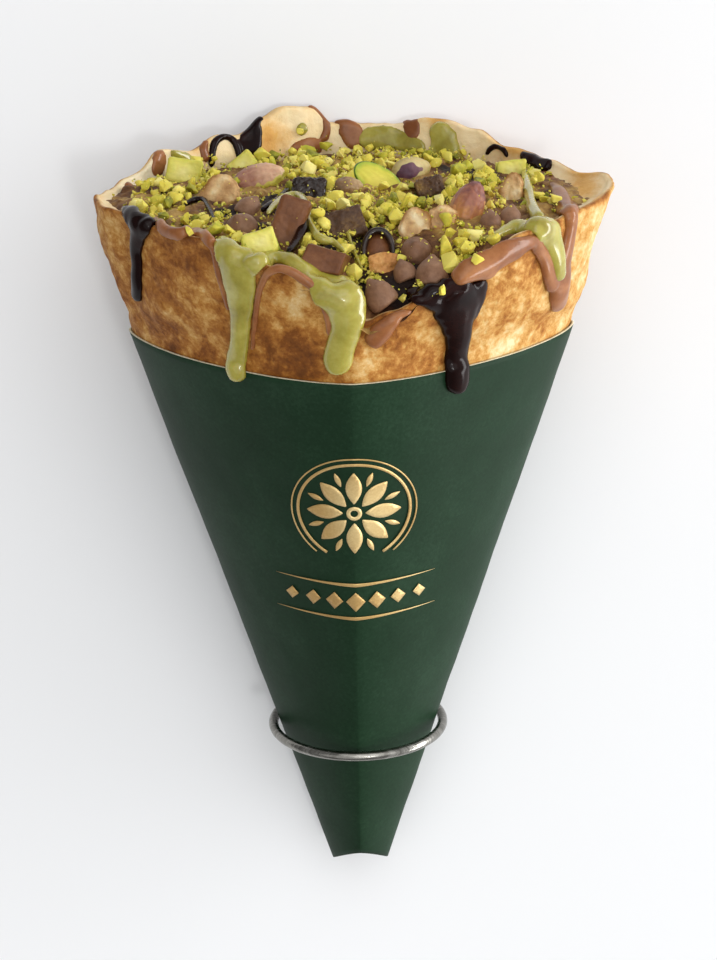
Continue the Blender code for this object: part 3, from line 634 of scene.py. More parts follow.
def kernel_finish(name, stops, skin_stops):
    """A pistachio kernel: cut_face runs 0 on the skin to 1 on the cut side, middle fades to its rim."""
    kernel = Finish(name, 0.48, Specular_IOR_Level=0.45, Subsurface_Weight=0.1, Subsurface_Scale=0.002)
    streaks = kernel.noise(230.0, 4.0, 0.6, 0.8)
    cut = kernel.ramp(kernel.sum((kernel.attribute("middle"), 0.75), (streaks, 0.3)), stops)
    skin = kernel.ramp(kernel.sum((kernel.attribute("along"), 0.45), (streaks, 0.55)), skin_stops)
    share = kernel.curve(kernel.sum((kernel.attribute("cut_face"), 0.9), (streaks, 0.2)), 0.45, 0.7)
    kernel.colour(kernel.blend(share, skin, cut))
    kernel.relief(streaks, 0.35, 0.5)
    return kernel.material


def chocolate_finish(name, stops, roughness, coat=0.0, pits=0.0):
    chocolate = Finish(name, roughness, Coat_Weight=coat, Coat_Roughness=0.1)
    bloom = chocolate.noise(150.0, 4.0, 0.6, 0.5)
    specks = chocolate.noise(900.0, 4.0, 0.65)
    chocolate.colour(chocolate.ramp(chocolate.sum((bloom, 0.7), (specks, 0.3)), stops))
    chocolate.relief(chocolate.sum((specks, 0.5), (bloom, 0.8)), 0.1 + pits, 0.5)
    return chocolate.material


def heap_finish():
    """What shows between the pieces: chocolate cream, wafer crumbs and pistachio cream, darkest in the gaps
    between the pieces with dark chocolate cream and painted shade.
    """
    heap = Finish("filling_cream", 0.6)
    patches = heap.noise(75.0, 3.0, 0.5, 0.8)
    crumbs = heap.noise(420.0, 5.0, 0.65, 0.5)
    # The dark attribute darkens the gaps between the pieces: dark chocolate cream and painted shade
    heap.colour(heap.ramp(heap.sum((patches, 0.7), (crumbs, 0.3), (heap.attribute("dark"), -0.55)), (
        (0.2, (30, 14, 8)), (0.36, (66, 38, 22)), (0.46, (112, 74, 42)), (0.54, (156, 120, 64)),
        (0.62, (186, 152, 88)), (0.74, (222, 186, 128)),
    )))
    heap.relief(crumbs, 0.8, 0.8)
    return heap.material


# Mesh helpers

def wrapped_grid(columns, rows, place):
    """A grid closed round the cone: place(angle, share) gives each point, share 0 to 1 along the rows."""
    bm = bmesh.new()
    bmesh.ops.create_grid(bm, x_segments=columns, y_segments=rows, size=1.0)
    for vert in bm.verts:
        vert.co = place(math.pi * vert.co.x, (vert.co.y + 1.0) / 2.0)
    bmesh.ops.remove_doubles(bm, verts=bm.verts, dist=0.0005)
    return bm


def loft_rings(bm, rings):
    """Joins rings of points one after the other and closes both ends."""
    edges = []
    for ring in rings:
        verts = [bm.verts.new(point) for point in ring]
        edges.append([bm.edges.new((verts[k], verts[(k + 1) % len(verts)])) for k in range(len(verts))])
    for one, two in zip(edges, edges[1:]):
        bmesh.ops.bridge_loops(bm, edges=one + two)
    for loop in (edges[0], edges[-1]):
        bmesh.ops.holes_fill(bm, edges=loop, sides=0)


def float_layers(bm, *names):
    return [bm.verts.layers.float.new(name) for name in names]


def cone_points(obj):
    """The vertices of a laid-down piece, back in cone millimetres."""
    lift_up = LAY_DOWN.inverted()
    return [lift_up @ vert.co for vert in obj.data.vertices]


def paint(obj, name, value):
    """Stores value(point in cone millimetres) at each vertex as an attribute."""
    stored = obj.data.attributes.new(name, "FLOAT", "POINT")
    stored.data.foreach_set("value", [value(point) for point in cone_points(obj)])


def finish_piece(name, bm, materials, slot, replaced=(), sharp=60.0, recalc=True):
    """Lays a cone-frame mesh down in the frame of the solids and makes it a piece on the root body."""
    bmesh.ops.transform(bm, matrix=LAY_DOWN, verts=bm.verts)
    if recalc:
        bmesh.ops.recalc_face_normals(bm, faces=bm.faces)
    mesh = bpy.data.meshes.new(name)
    bm.to_mesh(mesh)
    bm.free()
    for material in materials:
        mesh.materials.append(material)
    mesh.shade_smooth()
    if sharp < 180.0:
        mesh.set_sharp_from_angle(angle=math.radians(sharp))
    obj = put_in_scene(name, mesh)
    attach(obj, "root")
    if replaced:
        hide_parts(*replaced)
    return obj


def stand_in(name, bm, finish, slot, sharp=180.0):
    """A piece of one finish in the place of one solid."""
    finish_piece(name + "_piece", bm, [finish], slot, [name], sharp)


# The sleeve, its foil ornament and the ring

def make_sleeve():
    def place(angle, share):
        foot = TIP_ARCH * math.sin(angle) ** 2
        z = mix(foot, SLEEVE_HEIGHT, share)
        x, y = section_point(angle, z, sleeve_half_width(z), sleeve_half_depth(z))
        above_ground = smooth((ground_depth(z) - y) / 6.0) * smooth(z / 20.0)
        dent = 0.28 * grain(x, y, z * 0.6, 24.0) + 0.1 * grain(x, y, z, 7.0)
        reach = math.hypot(x, y)
        shrink = (reach - above_ground * (0.2 + dent)) / reach
        return Vector((x * shrink, min(y * shrink, ground_depth(z)), z))

    bm = wrapped_grid(256, 90, place)
    sleeve = finish_piece("card_sleeve", bm, card_finishes(), "card", ["sleeve"])
    wall = sleeve.modifiers.new("card", "SOLIDIFY")
    wall.thickness = CARD_THICKNESS * MM
    wall.offset = -1.0
    wall.use_even_offset = True
    wall.material_offset = 2
    wall.material_offset_rim = 1


def make_ring():
    bm = bmesh.new()
    bmesh.ops.create_circle(
        bm, radius=RING_WIRE_RADIUS, segments=24,
        matrix=Matrix.Translation((RING_RADIUS, 0.0, RING_HEIGHT)) @ Matrix.Rotation(math.pi / 2, 4, "X"),
    )
    bmesh.ops.spin(
        bm, geom=bm.verts[:] + bm.edges[:], cent=(0.0, 0.0, 0.0), axis=(0.0, 0.0, 1.0),
        angle=math.tau, steps=160, use_merge=True,
    )
    bmesh.ops.remove_doubles(bm, verts=bm.verts, dist=0.01)
    finish_piece("ring_wire", bm, [steel_finish()], "steel", ["steel_ring"])


FOIL_CENTRE = 131.0
FOIL_PROUD = 0.12
FOIL_THICKNESS = 0.15
FOIL_FINENESS = 1.6
# Arcs round the rosette: inner and outer radius, start and end in degrees
FOIL_ARCS = ((1.1, 2.2, 0.0, 360.0), (15.4, 16.2, -60.0, 240.0), (17.4, 17.8, -52.0, 232.0))
DIAMOND_HEIGHT = 101.0
DIAMOND_GAP = 6.1
RULE_HEIGHTS = (95.2, 106.8)


def flat_petal(bm, length, width, turn, away, centre):
    """A pointed leaf shape in the x, z plane, its middle a given way from the centre."""
    made = bmesh.ops.create_circle(bm, cap_ends=True, radius=1.0, segments=28)["verts"]
    for vert in made:
        point = vert.co.copy()
        narrow = 1.0 - abs(point.y) ** 2.2
        vert.co = Vector((point.x * width / 2.0 * (0.35 + 0.65 * narrow), point.y * length / 2.0 + away, 0.0))
    bmesh.ops.rotate(bm, verts=made, matrix=Matrix.Rotation(turn, 3, "Z"))
    bmesh.ops.translate(bm, verts=made, vec=(centre[0], centre[1], 0.0))


def flat_band(bm, inner, outer, centre, start, end):
    """An arc band in the x, z plane, swept by a spin of one short edge."""
    older = set(bm.verts)
    one = bm.verts.new((inner * math.cos(start), inner * math.sin(start), 0.0))
    two = bm.verts.new((outer * math.cos(start), outer * math.sin(start), 0.0))
    edge = bm.edges.new((one, two))
    bmesh.ops.spin(
        bm, geom=[one, two, edge], cent=(0.0, 0.0, 0.0), axis=(0.0, 0.0, 1.0),
        angle=end - start, steps=64, use_merge=abs(end - start - math.tau) < 0.001,
    )
    band = [vert for vert in bm.verts if vert not in older]
    bmesh.ops.translate(bm, verts=band, vec=(centre[0], centre[1], 0.0))


def flat_rhomb(bm, width, height, centre):
    for vert in bmesh.ops.create_grid(bm, x_segments=8, y_segments=2, size=1.0)["verts"]:
        x = vert.co.x * width / 2.0 + centre[0]
        y = vert.co.y * height / 2.0 * (1.0 - abs(vert.co.x)) + centre[1]
        vert.co = Vector((x, y, 0.0))


def make_foil():
    """A rosette in a broken ring over a row of diamonds between two fine rules."""
    bm = bmesh.new()
    middle = (0.0, FOIL_CENTRE)
    for i in range(8):
        turn = math.tau * i / 8.0
        flat_petal(bm, 10.0, 4.6, turn, 8.2, middle)
        flat_petal(bm, 4.6, 1.5, turn + math.pi / 8.0, 11.6, middle)
    for inner, outer, start, end in FOIL_ARCS:
        flat_band(bm, inner, outer, middle, math.radians(start), math.radians(end))
    for i in range(-3, 4):
        size = 1.0 - 0.12 * abs(i)
        flat_rhomb(bm, 5.6 * size, 6.6 * size, (DIAMOND_GAP * i, DIAMOND_HEIGHT))
    for height in RULE_HEIGHTS:
        flat_rhomb(bm, 46.0, 1.1, (0.0, height))
    bmesh.ops.triangulate(bm, faces=bm.faces)
    for _ in range(2):
        long_edges = [edge for edge in bm.edges if edge.calc_length() > FOIL_FINENESS]
        bmesh.ops.subdivide_edges(bm, edges=long_edges, cuts=1, use_grid_fill=True)
    bmesh.ops.remove_doubles(bm, verts=bm.verts, dist=0.001)
    bmesh.ops.triangulate(bm, faces=bm.faces)
    for vert in bm.verts:
        x, z = vert.co.x, vert.co.y
        vert.co = Vector((x, sleeve_front(x, z, FOIL_PROUD), z))
    for face in bm.faces:
        if face.normal.y > 0.0:
            face.normal_flip()
    foil = finish_piece("foil_rosette", bm, [foil_finish()], "card", recalc=False)
    leaf = foil.modifiers.new("leaf", "SOLIDIFY")
    leaf.thickness = FOIL_THICKNESS * MM
    leaf.offset = -1.0


# The crepe

WRAP_ROWS = 176
OUTER_SHARE = 0.5
FOOT_SHARE = 0.06
LIP_SHARE = 0.1
LIP_RISE = 0.8
END_FOLD = 12.0


def crepe_place(angle, share):
    """Up the outer wall, over the lip and down into the pocket."""
    top = rim_height(angle) + 0.5 * grain(math.cos(angle) * 70.0, math.sin(angle) * 70.0, 4.0, 5.0) - 0.5
    thick = 0.86 * rim_thickness(angle) - 0.5
    hidden = SLEEVE_HEIGHT - 2.0
    inset = 0.0
    down = 0.0
    if share < OUTER_SHARE:
        part = share / OUTER_SHARE
        if part < FOOT_SHARE:
            z = mix(WRAP_FOOT, hidden, part / FOOT_SHARE)
        else:
            z = mix(hidden, top - LIP_RISE, (part - FOOT_SHARE) / (1.0 - FOOT_SHARE))
    elif share < OUTER_SHARE + LIP_SHARE:
        turn = math.pi * (share - OUTER_SHARE) / LIP_SHARE
        z = top - LIP_RISE + LIP_RISE * math.sin(turn)
        inset = thick * (0.5 - 0.5 * math.cos(turn))
    else:
        part = (share - OUTER_SHARE - LIP_SHARE) / (1.0 - OUTER_SHARE - LIP_SHARE)
        z = mix(top - LIP_RISE, POCKET_FLOOR, part)
        degrees = abs(math.degrees(angle))
        fold = END_FOLD * (bump(degrees, 6.0, 22.0) + 0.8 * bump(degrees, 178.0, 16.0))
        inset = mix(thick, WRAP_THICKNESS, part) + fold * smooth(part / 0.24)
        down = part
    free = smooth((z - SLEEVE_HEIGHT - 0.5) / 6.0)
    seat = wrap_point(angle, z, inset)
    on_ground = smooth((ground_depth(z) - seat.y) / 4.0)
    bubbles = 0.55 * grain(seat.x, seat.y, z, 6.5) + 0.3 * grain(seat.x, seat.y, z, 2.6)
    creases = -0.5 * max(0.0, grain(seat.x * 1.6, seat.y * 1.6, z * 0.5, 13.0)) ** 2
    proud = free * on_ground * (bubbles + creases - 0.35) * (1.0 - 0.5 * down)
    return wrap_point(angle, z, inset, proud)


# Browned or pale places on the crepe, partly real browning and partly painted shade on the shaded left and
# painted light on the lit right: place in the front view, reach and tone
BAKE_AND_SHADE_PLACES = (
    (270, 136, 20, 0.42), (256, 158, 16, 0.2), (437, 119, 12, 0.3), (590, 194, 14, 0.36),
    (575, 172, 18, 0.2), (515, 148, 14, 0.2), (296, 112, 14, -0.12), (478, 140, 16, -0.14),
    (560, 164, 10, -0.2), (128, 188, 16, -0.2), (585, 184, 14, 0.14), (150, 170, 14, -0.2),
    (200, 156, 14, 0.16), (175, 285, 34, 0.15), (140, 262, 14, -0.1), (112, 228, 16, -0.08),
    (300, 355, 24, 0.14), (290, 300, 20, -0.14), (395, 362, 22, 0.06), (420, 335, 20, -0.1),
    (478, 320, 22, 0.02), (520, 290, 26, -0.04), (540, 330, 20, 0.03), (590, 250, 20, -0.2),
    (584, 218, 15, -0.16), (572, 280, 14, -0.14), (500, 352, 20, -0.14), (355, 372, 12, -0.16),
)


def bake_and_shade_tone(point):
    """How far a place is browned past the mean (or left pale, below nought): real browning, with painted
    shade on the front-left, away from the light, and painted light on the front-right.
    """
    if point.z < SLEEVE_HEIGHT - 2.0 or point.y > 30.0 and point.z < 200.0:
        return 0.1
    x, y, z = point
    degrees = math.degrees(section_angle(x, y, z, wrap_half_width(z), wrap_half_depth(z)))
    # Painted shade on the front-left side, away from the light; painted light, paler, on the front-right
    tone = 0.1 * bump(degrees, -125.0, 40.0) - 0.03 * bump(degrees, -25.0, 25.0)
    tone += 0.12 * smooth((z - rim_height(math.radians(degrees)) + 2.5) / 2.0)
    across, down = in_view(point)
    for place_across, place_down, reach, amount in BAKE_AND_SHADE_PLACES:
        gap = math.hypot(across - place_across, down - place_down)
        if gap < 2.0 * reach:
            tone += amount * bump(gap, 0.0, reach)
    return tone


def inside_share(point):
    """1 on the pocket's side of the crepe, 0 on its outer side and where it is pressed flat."""
    x, y, z = point
    outside, _ = past_wall(x, y, z, wrap_half_width(z), wrap_half_depth(z))
    flat = y > ground_depth(z) - 1.2
    return 0.0 if flat else smooth((-outside - 0.9) / 1.2)


def make_crepe():
    """Makes the crepe and returns its wall, for the sauces that cling to it."""
    bm = wrapped_grid(420, WRAP_ROWS, crepe_place)
    boundary = [edge for edge in bm.edges if edge.is_boundary]
    bmesh.ops.holes_fill(bm, edges=boundary, sides=0)
    crepe = finish_piece("crepe_sheet", bm, [crepe_finish("baked_crepe")], "crepe", ["crepe_wrap"], 180.0)
    paint(crepe, "inside", inside_share)
    # Real browning with painted shade and painted light, one value per vertex
    paint(crepe, "bake_and_shade", bake_and_shade_tone)
    faces = [polygon.vertices[:] for polygon in crepe.data.polygons]
    return BVHTree.FromPolygons(cone_points(crepe), faces)


# The filling: cream, chopped kernels and crumbs

def leaning(x, y, lift, lean, yaw):
    """Matrix of a piece whose middle is lifted off the filling at x, y towards the eater."""
    along_way = ACROSS * math.cos(math.radians(lean)) + UPWARDS * math.sin(math.radians(lean))
    facing = (TO_EATER + ACROSS * math.sin(math.radians(yaw))).normalized()
    facing = (facing - along_way * facing.dot(along_way)).normalized()
    third = facing.cross(along_way)
    turn = Matrix((along_way, third, facing)).transposed().to_4x4()
    foot = Vector((x, y, heap_height(x, y)))
    return Matrix.Translation(foot + TO_EATER * lift) @ turn


# Place on the filling, lift, lean and yaw in degrees, and size: as the solids have them
KERNELS = {
    "kernel_green_large": ((9.2, 13.3), 3.2, -35, 5, (18.0, 9.0, 8.0)),
    "kernel_pink_left": ((-26.3, 19.1), 3.2, 17, 0, (16.5, 9.6, 8.5)),
    "kernel_purple": ((18.4, 28.5), 3.0, 12, 0, (12.0, 8.4, 7.5)),
    "kernel_standing": ((32.8, -17.2), 4.2, 64, 0, (15.5, 9.4, 8.6)),
    "kernel_brown": ((-0.4, 5.2), 2.0, 3, 0, (9.0, 6.2, 6.0)),
}
NUT_BLOCKS = {
    "kernel_cube_left": ((-49, 32), 2.4, -12, 20, (9.8, 8.0, 7.5)),
    "kernel_half_back": ((-32.1, 47.5), 2.0, 35, 0, (8.5, 6.0, 6.0)),
    "kernel_half_front": ((-23.8, -43.8), 2.6, 12, 0, (9.6, 7.0, 6.5)),
    "kernel_cube_right": ((48.2, 30.5), 2.0, 0, -15, (8.8, 6.0, 7.0)),
}
CHIPS = {
    "chip_upright": ((22.0, -47.1), 3.4, 0, 0, (9.0, 8.8)),
    "chip_end_on": ((18.1, -38.1), 3.2, 0, 62, (8.6, 7.6)),
    "chip_low": ((14.4, -46.0), 2.0, 20, 0, (6.4, 6.4)),
    "chip_tilted": ((7.2, -52.2), 3.2, 38, 0, (8.4, 9.2)),
    "chip_right_inner": ((38.9, -26.8), 2.8, 0, 0, (6.2, 5.8)),
    "chip_right_outer": ((44.6, -23.8), 2.8, -8, 0, (6.6, 7.0)),
    "chip_left_inner": ((-27.6, -12.7), 2.8, -30, 0, (7.6, 7.0)),
    "chip_left_outer": ((-29.9, -29.4), 2.6, 20, 30, (8.8, 7.0)),
}
CHUNKS = {
    "chunk_square": ((-6.6, -49.0), 2.4, -14, 0, (11.6, 6.6, 8.0)),
    "chunk_specked": ((-1.1, -26.9), 2.6, 15, 0, (10.0, 8.5, 7.0)),
    "chunk_crumbly": ((23.2, 1.9), 2.4, 12, 0, (8.0, 6.6, 6.5)),
    "chunk_dark_back": ((-11.4, 2.6), 2.8, -10, 0, (9.0, 8.4, 6.0)),
}
HALF_SHELL = ((-16.9, -31.6), 4.2, 70, 0, (15.5, 8.6, 6.5))
CURL = ((7.8, -34.0), 3.8, 0, 0, (10.0, 12.0, 5.0))
CURL_ENDS = (math.pi * -0.12, math.pi * 1.12)
CURL_WALL = 0.95
SCRAPS = {
    "scrap_peach": ((-37.0, 0.2), 3.6, 60, -10, (14.0, 10.6, 3.4)),
    "scrap_cream": ((17.8, -28.6), 3.0, 40, 0, (10.0, 8.6, 3.4)),
    "scrap_beige": ((25.8, -27.1), 2.6, -20, 10, (8.5, 7.5, 3.4)),
    "scrap_amber": ((46.4, 0.2), 3.0, 80, -10, (10.5, 7.4, 4.0)),
    "scrap_browned": ((9.5, -41.0), 2.6, 6, 0, (9.6, 6.6, 3.6)),
}

# Dark chocolate cream and painted shade in the gaps between the pieces: place in the front view and size in
# view steps
DARK_CREAM_AND_SHADE_SPOTS = (
    (300, 215, 22), (262, 200, 16), (335, 248, 18), (372, 282, 16), (400, 292, 22), (428, 288, 22),
    (455, 170, 20), (408, 276, 16), (228, 214, 14), (312, 190, 16), (364, 238, 16), (250, 224, 14),
    (205, 172, 14), (480, 178, 14), (430, 196, 12),
)


def make_heap():
    dark_cream_and_shade_places = [(seen(across, down), size * STEP) for across, down, size in DARK_CREAM_AND_SHADE_SPOTS]

    def place(angle, share):
        half_width = (wrap_half_width(HEAP_OUTLINE_HEIGHT + 1.0) - WRAP_THICKNESS + 0.6) * max(share, 0.002)
        half_depth = (wrap_half_depth(HEAP_OUTLINE_HEIGHT + 1.0) - WRAP_THICKNESS + 0.6) * max(share, 0.002)
        x, y = section_point(angle, HEAP_OUTLINE_HEIGHT, half_width, half_depth)
        lumps = 1.4 * grain(x, y, 7.0, 5.0) + 0.8 * grain(x, y, 2.0, 2.4) + 0.4 * grain(x, y, 5.0, 1.2)
        return Vector((x, y, heap_height(x, y) + lumps - 0.5 * smooth((share - 0.85) / 0.15)))

    bm = wrapped_grid(400, 120, place)
    heap = finish_piece("filling_bed", bm, [heap_finish()], "chopped_pistachio", ["filling"], 180.0)
    # Dark chocolate cream and painted shade in the gaps between the pieces
    paint(heap, "dark", lambda point: max(
        bump((point - middle).length, 0.0, size) for middle, size in dark_cream_and_shade_places
    ))


def broken_bits(draw, count, points, rounding):
    """Worn hulls of a few random points, about one millimetre across, to scatter."""
    bits = []
    for _ in range(count):
        bm = bmesh.new()
        bm.verts.layers.float.new("tint")
        stretch = [draw.uniform(0.34, 0.58) for _ in range(3)]
        for _ in range(points):
            way = Vector((draw.gauss(0, 1), draw.gauss(0, 1), draw.gauss(0, 1))).normalized()
            reach = draw.uniform(0.78, 1.0)
            bm.verts.new([way[i] * stretch[i] * reach for i in range(3)])
        hull = bmesh.ops.convex_hull(bm, input=bm.verts[:])
        spare = hull["geom_interior"] + hull["geom_unused"]
        inside = list({item for item in spare if isinstance(item, bmesh.types.BMVert)})
        bmesh.ops.delete(bm, geom=inside, context="VERTS")
        if rounding:
            bmesh.ops.dissolve_limit(bm, angle_limit=0.35, verts=bm.verts[:], edges=bm.edges[:])
            bmesh.ops.bevel(
                bm, geom=bm.edges[:], offset=rounding, segments=2, profile=0.5, affect="EDGES",
                material=-1, clamp_overlap=True,
            )
            bmesh.ops.triangulate(bm, faces=bm.faces[:])
            shift = Vector((draw.uniform(0.0, 9.0), 0.0, 0.0))
            for vert in bm.verts:
                lumps = 0.07 * noise.noise_vector(vert.co * 3.0 + shift)
                vert.co += lumps + 0.03 * noise.noise_vector(vert.co * 8.0)
        mesh = bpy.data.meshes.new("bit")
        bm.to_mesh(mesh)
        bm.free()
        bits.append(mesh)
    return bits


def scatter(bm, bit, middle, size, draw, tint):
    """Adds one bit, turned at random, to the heap of bits."""
    axis = Vector((draw.gauss(0, 1), draw.gauss(0, 1), 0.4)).normalized()
    turn = Matrix.Rotation(draw.uniform(0.0, math.tau), 4, axis)
    place = Matrix.Translation(middle) @ turn @ Matrix.Scale(size, 4)
    tints = bit.attributes["tint"].data
    tints.foreach_set("value", [clamp(tint + draw.uniform(-0.06, 0.06)) for _ in range(len(tints))])
    bit.transform(place)
    bm.from_mesh(bit)
    bit.transform(place.inverted())


def finish_bits(name, bm, bits, sharp):
    finish_piece(name, bm, [nut_finish()], "chopped_pistachio", ["filling"], sharp)
    for bit in bits:
        bpy.data.meshes.remove(bit)


# Where chopped kernels lie: place in the front view, spread across and down, count
CHOPPED_SPOTS = (
    (335, 176, 44, 14, 170), (352, 205, 38, 24, 190), (395, 212, 26, 20, 80), (300, 166, 24, 10, 60),
    (372, 160, 44, 9, 80), (340, 240, 30, 16, 60), (462, 262, 12, 12, 26), (455, 232, 16, 16, 34),
    (362, 274, 16, 9, 24), (445, 195, 22, 18, 34), (250, 160, 16, 8, 14), (200, 178, 16, 12, 18),
    (292, 240, 20, 14, 20), (230, 216, 22, 12, 22), (478, 236, 18, 8, 20), (500, 200, 18, 14, 26),
    (355, 250, 12, 10, 16), (404, 240, 12, 14, 18), (170, 215, 16, 10, 12), (285, 205, 14, 14, 18),
    (530, 195, 14, 12, 10), (420, 290, 14, 8, 8), (215, 175, 20, 10, 12), (470, 185, 28, 12, 60),
    (518, 182, 22, 10, 36), (548, 200, 14, 9, 14), (168, 198, 22, 12, 36), (146, 213, 16, 7, 16),
    (205, 222, 24, 8, 26), (245, 236, 18, 8, 14), (330, 262, 20, 8, 18), (440, 160, 24, 6, 24),
)
CHOPPED_SINGLES = (
    (443, 293, 4.8), (450, 266, 7.6), (446, 250, 6.8), (372, 284, 5.2), (378, 282, 4.2), (444, 223, 7.0),
    (396, 220, 6.8), (385, 210, 6.0), (366, 203, 6.8), (346, 251, 7.2), (360, 262, 5.0), (336, 268, 4.8),
    (324.5, 227, 6.0), (408, 205, 6.4), (368, 218, 6.0), (414, 216, 5.2), (324, 205, 4.6), (465, 236, 6.0),
    (492, 206, 6.2), (470, 250, 4.4), (245, 250, 4.2), (312, 250, 4.2), (303, 255, 4.8), (185, 206, 3.8),
    (230, 232, 5.8), (190, 233, 3.4), (453, 192, 6.0), (491, 185, 6.4), (321, 243, 5.4), (354, 275, 6.2),
    (402, 299, 3.6), (261.6, 157, 6.4), (300, 134, 3.4), (298, 157, 4.2), (183.5, 194, 5.2), (402, 262, 4.2),
    (160, 205, 6.2), (350, 238, 4.6), (338, 222, 4.4), (384, 190, 4.6), (402, 190, 4.6), (476, 262, 4.4),
)


def large_pieces():
    """Middles of the named pieces in space with the radius they keep clear."""
    places = []
    for group in (KERNELS, NUT_BLOCKS, CHIPS, CHUNKS, SCRAPS, {"half_shell": HALF_SHELL, "curl": CURL}):
        for spot, lift, lean, yaw, size in group.values():
            reach = 0.5 * (max(size) + sorted(size)[-2]) / 2.0
            places.append((leaning(*spot, lift, lean, yaw).translation, reach))
    return places


def off_sight(point, other):
    """How far two points lie apart as the camera sees them."""
    way = point - other
    return (way - TO_EATER * way.dot(TO_EATER)).length


def on_heap(point, near):
    return heap_reach(point.x, point.y)[0] < 1.02 and abs(point.z - heap_height(point.x, point.y)) < near


def seen_near(draw, across, down, wide, tall, spread):
    """A random point of the skin round a place of the front view."""
    across += draw.gauss(0.0, spread) * wide
    down += draw.gauss(0.0, spread) * tall
    return seen(across, down)


def make_chopped():
    draw = random.Random(CHOPPED_SEED)
    bits = broken_bits(draw, 40, 12, 0.07)
    keep_clear = large_pieces()
    bm = bmesh.new()
    placed = []
    for across, down, wide, tall, count in CHOPPED_SPOTS:
        for _ in range(count):
            point = seen_near(draw, across, down, wide, tall, 0.6)
            size = draw.choice((1.8, 2.4, 3.0, 3.6, 4.4, 5.2, 6.0))
            if not on_heap(point, 2.2):
                continue
            middle = point + TO_EATER * (0.2 * size) + Vector((0.0, 0.0, draw.uniform(0.0, 0.45) * size))
            blocked = any(off_sight(middle, spot) < reach * 0.84 + 0.25 * size for spot, reach in keep_clear)
            crowded = any((middle - spot).length < 0.3 * (size + other) for spot, other in placed)
            if blocked or crowded:
                continue
            placed.append((middle, size))
            tint = clamp(draw.gauss(0.54, 0.2), 0.2, 0.95) if draw.random() > 0.1 else 0.08
            scatter(bm, draw.choice(bits), middle, size, draw, tint)
    for across, down, size in CHOPPED_SINGLES:
        middle = seen(across, down, 0.4 * size) + Vector((0.0, 0.0, 0.6))
        placed.append((middle, size))
        scatter(bm, draw.choice(bits), middle, size, draw, clamp(draw.gauss(0.5, 0.12), 0.25, 0.8))
    finish_bits("chopped_kernels", bm, bits, 38.0)
    return placed


HEAP_SPREAD = (345.0, 205.0, 150.0, 34.0)
HEAP_CRUMBS = 1200


def crumb_way(draw, spread):
    """A random way off a piece, towards the front and upwards."""
    across = draw.gauss(0, 1)
    forward = -abs(draw.gauss(0, spread))
    upward = abs(draw.gauss(0, 1))
    return Vector((across, forward, upward)).normalized()


def drop_crumb(bm, bits, spot, sizes, tints, draw):
    """Adds a crumb with its size between two ends and its tint round a mean."""
    bit = draw.choice(bits)
    size = draw.uniform(*sizes)
    scatter(bm, bit, spot, size, draw, clamp(draw.gauss(*tints), 0.05, 1.0))


def make_crumbs(placed):
    """Fine pistachio and wafer crumbs on and between the larger bits."""
    draw = random.Random(CRUMB_SEED)
    bits = broken_bits(draw, 16, 8, 0.0)
    bm = bmesh.new()
    for middle, size in placed:
        for _ in range(draw.choice((1, 2, 3, 4))):
            way = crumb_way(draw, 1)
            spot = middle + way * (0.42 * size + draw.uniform(0.0, 0.8))
            drop_crumb(bm, bits, spot, (0.4, 1.2), (0.45, 0.22), draw)
    spots = []
    for *spot, count in CHOPPED_SPOTS:
        spots += [spot] * (2 * count)
    spots += [HEAP_SPREAD] * HEAP_CRUMBS
    for spot in spots:
        point = seen_near(draw, *spot, 0.75)
        if on_heap(point, 2.0):
            point += TO_EATER * draw.uniform(0.0, 0.6)
            drop_crumb(bm, bits, point, (0.5, 2.2), (0.42, 0.24), draw)
    for middle, reach in large_pieces():
        for _ in range(draw.choice((2, 3, 5, 8))):
            spot = middle + crumb_way(draw, 0.6) * reach * 0.8
            scatter(bm, draw.choice(bits), spot, draw.uniform(0.4, 1.0), draw, draw.uniform(0.3, 0.9))
    finish_bits("crumbs", bm, bits, 30.0)


# Whole and halved kernels

def shape_kernel(size, matrix, wrinkle, cut_level=None, seam=0.0):
    """A kernel along x: one end blunter, its front cut off flat where it is halved."""
    length, width, thick = size
    bm = bmesh.new()
    cut_layer, middle_layer, along_layer = float_layers(bm, "cut_face", "middle", "along")
    made = bmesh.ops.create_uvsphere(bm, u_segments=96, v_segments=64, radius=0.5)["verts"]
    bmesh.ops.rotate(bm, verts=made, matrix=Matrix.Rotation(math.pi / 2.0, 3, "Y"))
    for vert in made:
        x, y, z = vert.co
        taper = 1.0 - 0.9 * max(0.0, x) ** 1.6
        bend = 0.05 * (x * x - 0.1)
        y, z = y * taper + bend, z * taper
        reach = clamp(math.hypot(x, y) * 2.0)
        cut = 0.0
        if cut_level is not None and z > cut_level:
            cut = smooth((z - cut_level) / 0.03)
            z = cut_level + 0.06 * (z - cut_level) + 0.012 * noise.noise(Vector((x, y, 1.0)) * 9.0)
        point = Vector((x * length, y * width, z * thick))
        ridges = noise.noise(Vector((point.x * 0.16, point.y * 0.75, point.z * 0.75)))
        fine = noise.noise(point * 1.3)
        outwards = Vector((x / length, y / width, z / thick)).normalized()
        groove = seam * bump(z + 0.04, 0.0, 0.03)
        point += outwards * ((wrinkle * (0.8 * ridges + 0.35 * fine) - groove) * (1.0 - 0.7 * cut))
        vert.co = matrix @ point
        vert[cut_layer] = cut
        vert[middle_layer] = clamp(1.0 - reach)
        vert[along_layer] = x + 0.5
    return bm


def patch_kernel(bm, matrix, middle, reach):
    """Leaves skin only on a patch round a place, the rest of the kernel bare."""
    layer = bm.verts.layers.float["cut_face"]
    back = matrix.inverted()
    for vert in bm.verts:
        local = back @ vert.co
        gap = math.hypot((local.x - middle[0]) / reach[0], (local.y - middle[1]) / reach[1])
        vert[layer] = smooth((gap - 0.8 + 0.35 * noise.noise(local * 0.5)) / 0.35) if local.z > 0.0 else 1.0


